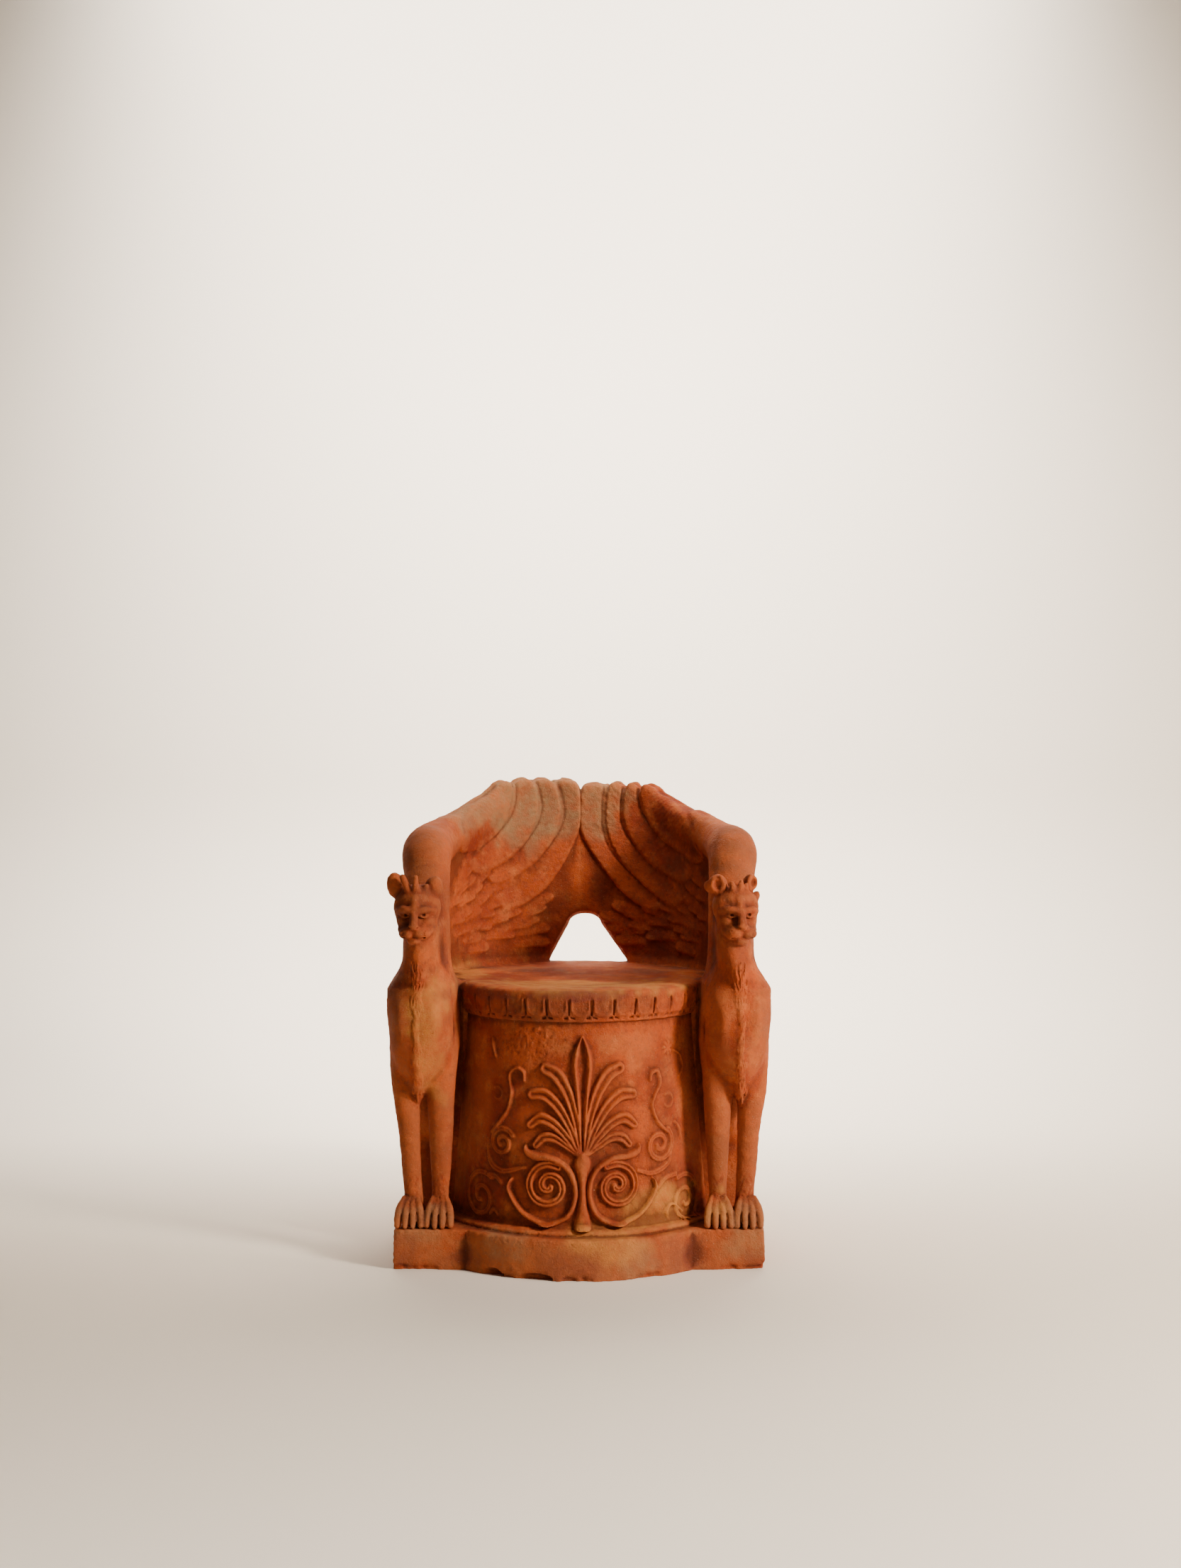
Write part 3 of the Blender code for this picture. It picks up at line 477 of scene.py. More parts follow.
tendrils = {
    -1: {"stem": [(98, 311, 3), (99, 324, 4), (112, 331, 3.5), (126, 318, 3.2), (122, 290, 4), (129, 262, 5),
                  (146, 240, 4.5), (163, 222, 4)],
         "coil": {"centre": (141, 207), "start": 148, "turns": -1.55, "radii": (25, 5), "widths": (4.0, 3.2)},
         "link": [(172, 196, 2.5), (164, 172, 4.5), (138, 161, 4.5), (97, 171, 3)],
         "scroll": {"centre": (188, 114), "start": 128, "turns": -1.6, "radii": (42, 6),
                    "widths": (4.0, 3.5)},
         "scrollTail": [(142, 140, 3), (152, 150, 4), (168, 152, 4)],
         "leaf": [(166, 376, 2), (162, 362, 5), (156, 345, 2.5)],
         "small": [(150, 90, 2), (157, 97, 5), (166, 88, 2.5)],
         "curl": {"centre": (152, 285), "start": 60, "turns": 0.7, "radii": (12, 8), "widths": (3.0, 2.0)}},
    1: {"stem": [(118, 309, 3), (121, 321, 4.5), (133, 323, 5.5), (138, 303, 5), (128, 285, 3.5),
                 (122, 268, 3.5), (131, 243, 4.5), (152, 222, 3.5)],
        "coil": {"centre": (136, 203), "start": 50, "turns": -1.6, "radii": (30, 5), "widths": (4.5, 3.5)},
        "link": [(163, 190, 2.5), (154, 170, 4.5), (122, 158, 4.5), (93, 165, 3)],
        "scroll": {"centre": (197, 104), "start": 118, "turns": -1.7, "radii": (44, 6), "widths": (4.2, 3.5)},
        "scrollTail": [(133, 133, 3), (148, 146, 4), (172, 150, 4)],
        "rosette": {"centre": (157, 359), "petals": 7, "radius": 12.5},
        "thread": [(172, 354, 1.6), (190, 345, 1.6), (198, 325, 1.6), (188, 308, 1.6)],
        "small": [(152, 84, 2), (151, 94, 5), (160, 102, 3), (172, 98, 2.5), (188, 86, 2.5)],
        "curl": {"centre": (157, 272), "start": 120, "turns": -0.75, "radii": (13, 9), "widths": (2.4, 1.8)},
        "bud": [(172, 236, 2), (182, 225, 4.5), (188, 205, 1.8)]},
}


def coilKnots(coil, side, count=26):
    knots = []
    for step in range(count + 1):
        share = step / count
        radius = np.interp(share, np.linspace(0, 1, len(coil["radii"])), coil["radii"])
        width = coil["widths"][0] + (coil["widths"][1] - coil["widths"][0]) * share
        angle = math.radians(coil["start"] + 360 * coil["turns"] * share)
        knots.append((side * (coil["centre"][0] + radius * math.cos(angle)),
                      coil["centre"][1] + radius * math.sin(angle), width))
    return knots


def carveFront():
    # All sizes here are millimetres, also on the sheet.
    sheet = Sheet(-345, 345, 70, 412, 0.8)
    high = drum["relief"] * 1000

    def leafShape(side, along):
        rim = np.exp(-((np.abs(side) - 0.66) / 0.24) ** 2)
        return high * 1.05 * np.where(np.abs(side) < 1, rim, 0) * softStep(along, 0.0, 0.1)

    def stemShape(side, along):
        return high * 1.25 * np.sqrt(np.clip(1 - side ** 2, 0, 1))

    for side in (1, -1):
        flip = lambda knots: [(side * u, v, w) for u, v, w in knots]
        for lobe in palmette["lobes"]:
            stroke(sheet, [(u, v, w * 1.22) for u, v, w in flip(lobe)], doubleBand(high * 0.88, 0.6))
        stroke(sheet, flip(palmette["band"]), roundBand(high * 1.1, 0.35))
        stroke(sheet, coilKnots(palmette["coil"], side), doubleBand(high * 0.95, 0.6), steps=2)
        own = tendrils[side]
        stroke(sheet, flip(own["stem"]), roundBand(high * 0.62, 0.2))
        stroke(sheet, flip(own["link"]), doubleBand(high * 0.5, 0.6))
        stroke(sheet, flip(own["scrollTail"]), doubleBand(high * 0.45, 0.6))
        stroke(sheet, flip(own["small"]), roundBand(high * 0.5, 0.2))
        for key, share in (("coil", 0.55), ("scroll", 0.5), ("curl", 0.3)):
            stroke(sheet, coilKnots(own[key], side), doubleBand(high * share, 0.65), steps=2)
        for key in ("leaf", "thread", "bud"):
            if key in own:
                stroke(sheet, flip(own[key]), roundBand(high * 0.45, 0.2))
        if "rosette" in own:
            rosette = own["rosette"]
            for petal in range(rosette["petals"]):
                angle = 2 * math.pi * petal / rosette["petals"] + 0.3
                u, v = rosette["centre"]
                r = rosette["radius"]
                knots = [(u + 0.30 * r * math.cos(angle), v + 0.30 * r * math.sin(angle), 2.0),
                         (u + 0.72 * r * math.cos(angle), v + 0.72 * r * math.sin(angle), 4.0)]
                stroke(sheet, knots, roundBand(high * 0.42, 0.1))
            stroke(sheet, [(u, v, 3), (u + 0.1, v, 3)], roundBand(high * 0.5, 0.1))
    stroke(sheet, palmette["leaf"], leafShape)
    stroke(sheet, palmette["stem"], stemShape)
    sheet.soften(2)
    return sheet


def drumRadius(z):
    share = (z - drum["footZ"]) / (drum["topZ"] - drum["footZ"])
    return drum["footRadius"] + (drum["topRadius"] - drum["footRadius"]) * share


def latheDistance(clay, profile):
    sheet = Sheet(-0.02, 0.34, 0.02, 0.50, 0.001)
    sheet.height = outlineSheet(profile, sheet)
    rho = np.hypot(clay.axes[0][:, None], clay.axes[1][None, :] - throne["axisY"])
    return sheet.wrapped(rho, clay.axes[2])


def makeSeatDrum():
    clay = Clay((-0.252, -0.270, 0.030), (0.252, 0.236, 0.468), fine(drum["step"]))
    clay.field = latheDistance(clay, drum["profile"])
    relief = carveFront()
    i, j, k = np.nonzero(np.abs(clay.field) < 0.012)
    x, y, z = clay.axes[0][i], clay.axes[1][j], clay.axes[2][k]
    inFace = (y < throne["axisY"]) & (z < drum["topZ"] - 0.002) & (z > 0.076)
    i, j, k, x, y, z = i[inFace], j[inFace], k[inFace], x[inFace], y[inFace], z[inFace]
    angle = np.arctan2(x, throne["axisY"] - y) - drum["turn"]
    height = relief.read(angle * drumRadius(z) * 1000, z * 1000) / 1000
    # The upper left of the face is eroded.
    place = np.stack([x, y, z], axis=1)
    worn = 1 - softStep(np.hypot((x + 0.075) / 0.07, (z - 0.375) / 0.035), 0.5, 1.2)
    height = height - worn * (0.0009 + 0.0011 * grain(place, 0.006) + 0.0008 * grain(place, 0.0025, 2.0))
    clay.field[i, j, k] -= height
    keepBox(clay, (-0.30, -0.30, 0.056), (0.30, 0.20, 0.48))
    return cast("seatDrum", clay, 0.048)


# Rim leaves: one hanging leaf between two slits, repeated round the drum's rim.
rimLeaf = {
    "leaves": 17, "pitch": 10.06, "turn": 0.63, "wear": 0.0016, "jitter": 0.05, "seed": 7, "columns": 34,
    "rows": 40,
    "profile": [(0.4088, 0.2062), (0.4100, 0.2082), (0.4130, 0.2090), (0.4150, 0.2100), (0.4200, 0.2118),
                (0.4280, 0.2130), (0.4380, 0.2140), (0.4460, 0.2150), (0.4520, 0.2153), (0.4565, 0.2143),
                (0.4594, 0.2116), (0.4605, 0.2088), (0.4602, 0.2050), (0.4575, 0.2005)],
    "back": 0.1985, "border": 14.4, "round": 432.0, "drop": 12.5, "high": 2.3, "half": 2.0,
    "slit": (420.0, 446.5, 6.5), "hollow": (416.4, 4.2),
    "face": 215.5,
}


def rimLeafHeight(u, v):
    # In millimetres: a raised border round a plain tongue, a slit beside it and hollows below.
    half = math.radians(rimLeaf["pitch"] / 2) * rimLeaf["face"]
    below = np.clip(rimLeaf["round"] - v, 0, None) / rimLeaf["drop"]
    away = (np.hypot(u / rimLeaf["border"], below) - 1) * rimLeaf["border"]
    border = rimLeaf["high"] * np.exp(-(away / rimLeaf["half"]) ** 2) * (1 - softStep(v, 441, 449))
    tongue = 0.5 * (1 - softStep(away, -3.0, 0.0)) * (1 - softStep(v, 440, 450))
    scratches = 0.12 * np.sin(u * 3.1 + np.sin(v * 0.35))
    scratches = scratches * (1 - softStep(np.abs(u), 7, 11)) * softStep(v, 421, 426)
    low, high, deep = rimLeaf["slit"]
    aside = half - np.abs(u)
    slit = deep * (1 - softStep(aside, 0.6, 1.9 + 1.3 * softStep(v, 432, 444)))
    slit = slit * softStep(v, low - 1.5, low + 2) * (1 - softStep(v, high - 1.6, high + 0.6))
    level, depth = rimLeaf["hollow"]
    bite = depth * np.exp(-((v - level + 0.22 * (aside - 4)) / 1.7) ** 2)
    bite = bite * softStep(aside, 1.2, 2.6) * (1 - softStep(aside, 7.5, 11))
    dart = 0.8 * (1 - softStep(aside, 0.8, 2.6)) * (1 - softStep(np.abs(v - 416.5), 2.0, 4.5))
    return border + tongue + scratches - slit - bite + dart


def makeRimLeafMesh():
    # A closed panel, as wide as the pitch and a hair over.
    across = np.linspace(-1, 1, rimLeaf["columns"] + 1)
    across = 0.55 * across + 0.45 * np.sin(across * math.pi / 2)  # finer towards the slits
    ups, radii = np.array(rimLeaf["profile"]).T
    track = np.linspace(0, 1, rimLeaf["rows"] + 1) * (len(ups) - 1)
    z = np.interp(track, np.arange(len(ups)), ups)
    r = np.interp(track, np.arange(len(ups)), radii)
    half = math.radians(rimLeaf["pitch"] / 2 + 0.07)
    a, zz = np.meshgrid(across * half, z, indexing="ij")
    height = rimLeafHeight(a * rimLeaf["face"], zz * 1000) / 1000
    reach = r[None, :] + height * np.clip((r[None, :] - 0.203) / 0.006, 0, 1)
    form = bmesh.new()
    front = [[form.verts.new((p * math.sin(t), -p * math.cos(t), h)) for p, t, h in zip(*row)]
             for row in zip(reach, a, zz)]
    inner = rimLeaf["back"]
    back = [[form.verts.new((inner * math.sin(t), -inner * math.cos(t), h)) for h in (z[0], z[-1])]
            for t in a[:, 0]]
    for left, right in zip(front, front[1:]):
        for low in range(rimLeaf["rows"]):
            form.faces.new((left[low], right[low], right[low + 1], left[low + 1]))
    for (left, leftBack), (right, rightBack) in zip(zip(front, back), list(zip(front, back))[1:]):
        form.faces.new((left[0], leftBack[0], rightBack[0], right[0]))
        form.faces.new((left[-1], right[-1], rightBack[1], leftBack[1]))
        form.faces.new((leftBack[0], leftBack[1], rightBack[1], rightBack[0]))
    form.faces.new([*front[0], back[0][1], back[0][0]])
    form.faces.new([back[-1][0], back[-1][1], *front[-1][::-1]])
    bmesh.ops.recalc_face_normals(form, faces=form.faces)
    mesh = bpy.data.meshes.new("rimLeaf")
    form.to_mesh(mesh)
    form.free()
    return mesh


def rimLeafTree():
    tree = bpy.data.node_groups.new("leavesRoundRim", "GeometryNodeTree")
    face = tree.interface
    face.new_socket("Leaf", in_out="INPUT", socket_type="NodeSocketGeometry")
    for label, kind in (("Leaves", "Int"), ("Pitch", "Float"), ("First", "Float"), ("Jitter", "Float"),
                        ("Wear", "Float"), ("Seed", "Int"), ("Axis", "Vector"), ("Clay", "Material")):
        face.new_socket(label, in_out="INPUT", socket_type=f"NodeSocket{kind}")
    face.new_socket("Leaves", in_out="OUTPUT", socket_type="NodeSocketGeometry")
    nodes, links = tree.nodes, tree.links
    given = nodes.new("NodeGroupInput").outputs

    def sums(operation, a, b):
        node = nodes.new("ShaderNodeMath")
        node.operation = operation
        links.new(a, node.inputs[0])
        links.new(b, node.inputs[1])
        return node.outputs[0]

    points = nodes.new("GeometryNodePoints")
    links.new(given["Leaves"], points.inputs["Count"])
    draw = nodes.new("FunctionNodeRandomValue")
    draw.data_type = "FLOAT"
    links.new(sums("MULTIPLY", given["Jitter"], nodeValue(nodes, -1.0)), draw.inputs[2])
    links.new(given["Jitter"], draw.inputs[3])
    links.new(given["Seed"], draw.inputs["Seed"])
    index = nodes.new("GeometryNodeInputIndex").outputs[0]
    turn = sums("ADD", given["First"], sums("MULTIPLY", index, given["Pitch"]))
    turn = sums("ADD", turn, draw.outputs[1])
    spin = nodes.new("ShaderNodeCombineXYZ")
    links.new(sums("MULTIPLY", turn, nodeValue(nodes, math.pi / 180)), spin.inputs["Z"])
    facing = nodes.new("FunctionNodeEulerToRotation")
    links.new(spin.outputs[0], facing.inputs[0])
    copies = nodes.new("GeometryNodeInstanceOnPoints")
    links.new(points.outputs[0], copies.inputs["Points"])
    links.new(given["Leaf"], copies.inputs["Instance"])
    links.new(facing.outputs[0], copies.inputs["Rotation"])
    moved = nodes.new("GeometryNodeTransform")
    links.new(copies.outputs[0], moved.inputs["Geometry"])
    links.new(given["Axis"], moved.inputs["Translation"])
    real = nodes.new("GeometryNodeRealizeInstances")
    links.new(moved.outputs[0], real.inputs[0])
    # Wear swells and sinks the leaves along their normals.
    cloud = nodes.new("ShaderNodeTexNoise")
    cloud.inputs["Scale"].default_value = 75
    cloud.inputs["Detail"].default_value = 3
    lift = sums("MULTIPLY", sums("SUBTRACT", cloud.outputs[0], nodeValue(nodes, 0.5)), given["Wear"])
    push = nodes.new("ShaderNodeVectorMath")
    push.operation = "SCALE"
    links.new(nodes.new("GeometryNodeInputNormal").outputs[0], push.inputs[0])
    links.new(sums("MULTIPLY", lift, nodeValue(nodes, 2.0)), push.inputs["Scale"])
    worn = nodes.new("GeometryNodeSetPosition")
    links.new(real.outputs[0], worn.inputs["Geometry"])
    links.new(push.outputs[0], worn.inputs["Offset"])
    dressed = nodes.new("GeometryNodeSetMaterial")
    links.new(worn.outputs[0], dressed.inputs["Geometry"])
    links.new(given["Clay"], dressed.inputs["Material"])
    links.new(dressed.outputs[0], nodes.new("NodeGroupOutput").inputs[0])
    return tree


def nodeValue(nodes, number):
    node = nodes.new("ShaderNodeValue")
    node.outputs[0].default_value = number
    return node.outputs[0]


def makeRimLeaves():
    maker = bpy.data.objects.new("rimLeafMaker", makeRimLeafMesh())
    bpy.context.scene.collection.objects.link(maker)
    tree = rimLeafTree()
    repeat = maker.modifiers.new("leaves", "NODES")
    repeat.node_group = tree
    first = rimLeaf["turn"] - rimLeaf["pitch"] * (rimLeaf["leaves"] // 2)
    values = {"Leaves": rimLeaf["leaves"], "Pitch": rimLeaf["pitch"], "First": first,
              "Jitter": rimLeaf["jitter"], "Wear": rimLeaf["wear"], "Seed": rimLeaf["seed"],
              "Axis": (0.0, throne["axisY"], 0.0), "Clay": clayFinish}
    for socket in tree.interface.items_tree:
        if socket.in_out == "INPUT" and socket.name in values:
            repeat[socket.identifier] = values[socket.name]
    graph = bpy.context.evaluated_depsgraph_get()
    mesh = bpy.data.meshes.new_from_object(maker.evaluated_get(graph))
    mesh.name = "rimLeaves"
    maker.modifiers.remove(repeat)
    bpy.data.objects.remove(maker)
    points = np.array([vert.co for vert in mesh.vertices], float)
    mesh.calc_loop_triangles()
    split = np.array([tuple(part.vertices) for part in mesh.loop_triangles])
    normals = normalsOf(points, split)
    hollow = np.einsum("ij,ij->i", relaxed(points, split, 6) - points, normals) / surface["hollow"]
    rho = np.hypot(points[:, 0], points[:, 1] - throne["axisY"])
    # Painted shade: the slits and hollows sunk below the leaf's plain face count as hollow, so the finish
    # darkens them.
    ups, radii = np.array(rimLeaf["profile"]).T
    sunk = np.interp(points[:, 2], ups[:-3], radii[:-3]) - rho
    hollow = np.where(points[:, 2] > 0.459, 0.0, np.maximum(hollow, softStep(sunk, 0.0006, 0.0028)))
    say(f"rimLeaves: {len(split)} triangles")
    return placed(mesh, points, normals, hollow)


# Wings: a wall of clay round the seat, with its outline and its feathers drawn flat and wrapped round.
wing = {
    "inner": 0.246, "lean": 0.006, "wall": 0.040, "taper": 0.008, "height": 0.350, "step": 0.0017,
    "tips": {
        1: [((0, 0.790), (6.5, 0.800), (11.9, 0.795)), ((11.9, 0.795), (15.8, 0.800), (19.2, 0.791)),
            ((19.2, 0.791), (22.3, 0.799), (25.7, 0.787)), ((25.7, 0.787), (29.8, 0.796), (34.0, 0.784))],
        -1: [((0, 0.790), (6.5, 0.8080), (12.0, 0.800)), ((12.0, 0.800), (16.5, 0.8090), (21.0, 0.801)),
             ((21.0, 0.801), (25.5, 0.8075), (30.0, 0.796)), ((30.0, 0.796), (33.0, 0.802), (36.5, 0.796))],
    },
    "edge": {
        1: [(38.9, 0.767), (45, 0.751), (49, 0.744), (53, 0.746), (60, 0.735), (70, 0.722), (82, 0.700),
            (92, 0.660), (99, 0.60), (104, 0.53), (107, 0.44)],
        -1: [(41, 0.779), (47, 0.766), (53, 0.755), (60, 0.742), (66, 0.738), (76, 0.725), (84, 0.706),
             (93, 0.664), (99, 0.60), (104, 0.53), (107, 0.44)],
    },
    "arch": {"foot": 0.088, "footShift": 0.0165, "height": 0.092, "shift": 0.0085, "crown": 0.031},
    # The arm along the wing's top, from the shoulder to the back: (degrees, up, radius).
    "limb": [(106, 0.455, 0.036), (105, 0.561, 0.035), (101, 0.638, 0.039), (93, 0.677, 0.0425),
             (82, 0.687, 0.0415), (70, 0.696, 0.034), (58, 0.712, 0.026), (47, 0.733, 0.019),
             (38, 0.757, 0.012)],
}

# Primaries by side, outermost first, as the lower and the upper edge of each from its tip:
# (degrees from the back's middle, up).
primaries = {
    -1: [
        [[(30.5, 0.803), (31.5, 0.775), (34, 0.742), (42, 0.712), (50, 0.700)],
         [(41, 0.800), (48, 0.785), (56, 0.770), (62, 0.752), (66, 0.735)]],
        [[(21.2, 0.808), (19.0, 0.772), (20.0, 0.733), (26.4, 0.689), (35, 0.661), (43, 0.645)],
         [(30.8, 0.804), (31.8, 0.775), (34.3, 0.742), (41, 0.712), (47, 0.700), (53, 0.692)]],
        [[(12.2, 0.805), (9.3, 0.771), (9.5, 0.731), (15.0, 0.687), (24, 0.653), (34, 0.628)],
         [(21.5, 0.808), (19.3, 0.772), (20.3, 0.733), (26.7, 0.689), (35, 0.661), (43, 0.645)]],
        [[(1.5, 0.800), (0.0, 0.765), (0.5, 0.722), (4.5, 0.680), (10, 0.642), (17, 0.612), (25, 0.594)],
         [(12.5, 0.805), (9.6, 0.771), (9.8, 0.731), (15.3, 0.687), (24, 0.653), (34, 0.628), (40, 0.615)]],
    ],
    1: [
        [[(26.5, 0.794), (28.3, 0.757), (33, 0.729), (42, 0.698), (50, 0.676)],
         [(37, 0.790), (45, 0.772), (54, 0.757), (60, 0.742), (65, 0.720)]],
        [[(20.0, 0.794), (19.0, 0.753), (20.2, 0.722), (25.5, 0.692), (34, 0.661), (44, 0.633)],
         [(26.9, 0.794), (28.7, 0.757), (33.4, 0.729), (42.4, 0.698), (50, 0.676), (55, 0.664)]],
        [[(12.5, 0.797), (11.2, 0.750), (12.0, 0.711), (15.5, 0.673), (22, 0.643), (31, 0.610), (38, 0.590)],
         [(20.3, 0.794), (19.3, 0.753), (20.5, 0.722), (25.8, 0.692), (34.3, 0.661), (44, 0.633),
          (50, 0.617)]],
        [[(1.0, 0.792), (0.4, 0.722), (3.0, 0.688), (7.5, 0.659), (12.7, 0.630), (20, 0.600), (29, 0.578)],
         [(12.8, 0.797), (11.5, 0.750), (12.3, 0.711), (15.8, 0.673), (22.3, 0.643), (31, 0.610),
          (38, 0.590)]],
    ],
}

# Rows of coverts between two ends, each feather as long and half as wide as given, in millimetres:
# (first tip, last tip, feathers, length, half width, lean in degrees).
covertRows = {
    -1: [((46, 0.684), (33, 0.632), 3, 52, 9.5, -40), ((31, 0.624), (12, 0.588), 3, 58, 9.5, -26),
         ((50, 0.664), (38, 0.612), 3, 50, 9.5, -36), ((33, 0.600), (15, 0.568), 3, 58, 9.0, -18),
         ((54, 0.648), (44, 0.592), 4, 46, 9.5, -30), ((38, 0.582), (18, 0.545), 3, 58, 9.0, -12),
         ((57, 0.622), (47, 0.570), 3, 42, 9.5, -22), ((42, 0.562), (14, 0.527), 4, 56, 9.0, -7),
         ((59, 0.590), (49, 0.545), 3, 40, 9.5, -14), ((43, 0.536), (16, 0.502), 3, 56, 9.0, -3),
         ((58, 0.556), (45, 0.498), 4, 40, 9.5, -7)],
    1: [((48, 0.668), (38, 0.604), 4, 50, 9.5, -42), ((37, 0.592), (15, 0.572), 3, 58, 9.5, -24),
        ((52, 0.650), (43, 0.590), 4, 46, 9.5, -34), ((38, 0.574), (10, 0.553), 4, 60, 9.0, -14),
        ((56, 0.632), (48, 0.574), 4, 42, 9.5, -26), ((42, 0.552), (13, 0.529), 4, 60, 9.0, -7),
        ((59, 0.600), (50, 0.548), 3, 40, 9.5, -16), ((44, 0.530), (16, 0.502), 3, 58, 9.0, -3),
        ((59, 0.560), (46, 0.498), 4, 40, 9.5, -7)],
}


def wingU(degrees):
    return math.radians(degrees) * (wing["inner"] + wing["wall"] / 2) * 1000


def wingOutline(side):
    points = [(-14, 0.44), (-14, 0.790), (0, 0.790)]
    for (a, low), (tip, top), (b, high) in wing["tips"][side]:
        for step in range(1, 10):
            t = step / 10
            base = low + (high - low) * t
            lift = top - (low + (high - low) * (tip - a) / (b - a))
            skew = t ** (math.log(0.5) / math.log((tip - a) / (b - a)))
            points.append((a + (b - a) * t, base + lift * math.sin(math.pi * skew) ** 0.6))
        points.append((b, high))
    points += wing["edge"][side]
    return [(wingU(turn), up * 1000) for turn, up in points]


def archOutline(side):
    arch = wing["arch"]
    shift = side * arch["shift"]
    points = [(shift + arch["crown"] * math.cos(math.pi * step / 12),
               throne["seat"] + arch["height"] - arch["crown"] * 0.62 * (1 - math.sin(math.pi * step / 12)))
              for step in range(13)]
    points.insert(0, (side * arch["footShift"] + arch["foot"], 0.446))
    points.append((side * arch["footShift"] - arch["foot"], 0.446))
    return [(u * 1000, v * 1000) for u, v in points]


def bladeShape(height):
    # A primary from its upper edge (side -1) to its lower one (side 1): a narrow raised strip, a groove,
    # and a blade that is highest along its lower edge, where it lies over its neighbour.
    def shape(side, along):
        blade = 0.52 + 0.48 * softStep(side, -0.55, 0.75)
        strip = 0.60 * np.sqrt(np.clip(1 - ((side + 0.76) / 0.30) ** 2, 0, 1))
        groove = np.exp(-((side + 0.44) / 0.07) ** 2)
        rounded = 1 - 0.30 * softStep(side, 0.84, 1.0)
        barbs = 0.05 * np.sin(along * 120 - side * 9) * softStep(side, -0.4, -0.2)
        body = np.where(side < -0.48, np.maximum(strip, 0.42), blade) * rounded - 0.30 * groove + barbs
        return height * body * (0.55 + 0.45 * softStep(along, 0.0, 0.6))
    return shape


def covertShape(height):
    # A shorter feather, highest at its tip and along its lower edge.
    def shape(side, along):
        body = (0.34 + 0.33 * (side + 1)) * (0.55 + 0.45 * softStep(along, 0.0, 0.8))
        barbs = 0.04 * np.sin(along * 34 + side * 6)
        return height * (body + barbs) * (1 - softStep(np.abs(side), 0.86, 1.0))
    return shape


def covertKnots(tip, length, half, lean):
    # From the root, out towards the shoulder, to the tip.
    turn = math.radians(lean)
    knots = []
    for share, width in ((1.0, 0.60), (0.65, 0.95), (0.30, 1.0), (0.08, 0.80), (0.0, 0.55)):
        back = length * share
        rise = 4 * math.sin(math.pi * share)
        knots.append((wingU(tip[0]) + back * math.cos(turn), tip[1] * 1000 + back * math.sin(turn) + rise,
                      half * width))
    return knots


def plumes(side):
    sheet = Sheet(wingU(-16), wingU(112), 440, 820, 0.8)
    drift = np.random.default_rng(3 + side)
    for order, (lower, upper) in enumerate(primaries[side][::-1]):
        count = 10
        paths = [smoothPath([(wingU(turn), up * 1000) for turn, up in edge], 8) for edge in (lower, upper)]
        knots = []
        for step in range(count):
            a, b = (path[round(step / (count - 1) * (len(path) - 1))] for path in paths)
            knots.append((*((a + b) / 2), max(np.linalg.norm(a - b) / 2 * 1.06, 5)))
        stroke(sheet, knots[::-1], bladeShape(6.6 + 0.3 * order), steps=4)
    for first, last, count, length, half, lean in covertRows[side]:
        for step in range(count):
            share = step / max(count - 1, 1)
            tip = [a + (b - a) * share for a, b in zip(first, last)]
            knots = covertKnots((tip[0] + drift.uniform(-1.2, 1.2), tip[1] + drift.uniform(-0.002, 0.002)),
                                length * drift.uniform(0.95, 1.2), half * drift.uniform(1.15, 1.4),
                                lean + drift.uniform(-5, 5))
            stroke(sheet, knots, covertShape(3.7 - 1.0 * softStep(-tip[1], -0.60, -0.52)), steps=4)
    sheet.soften(2)
    return sheet


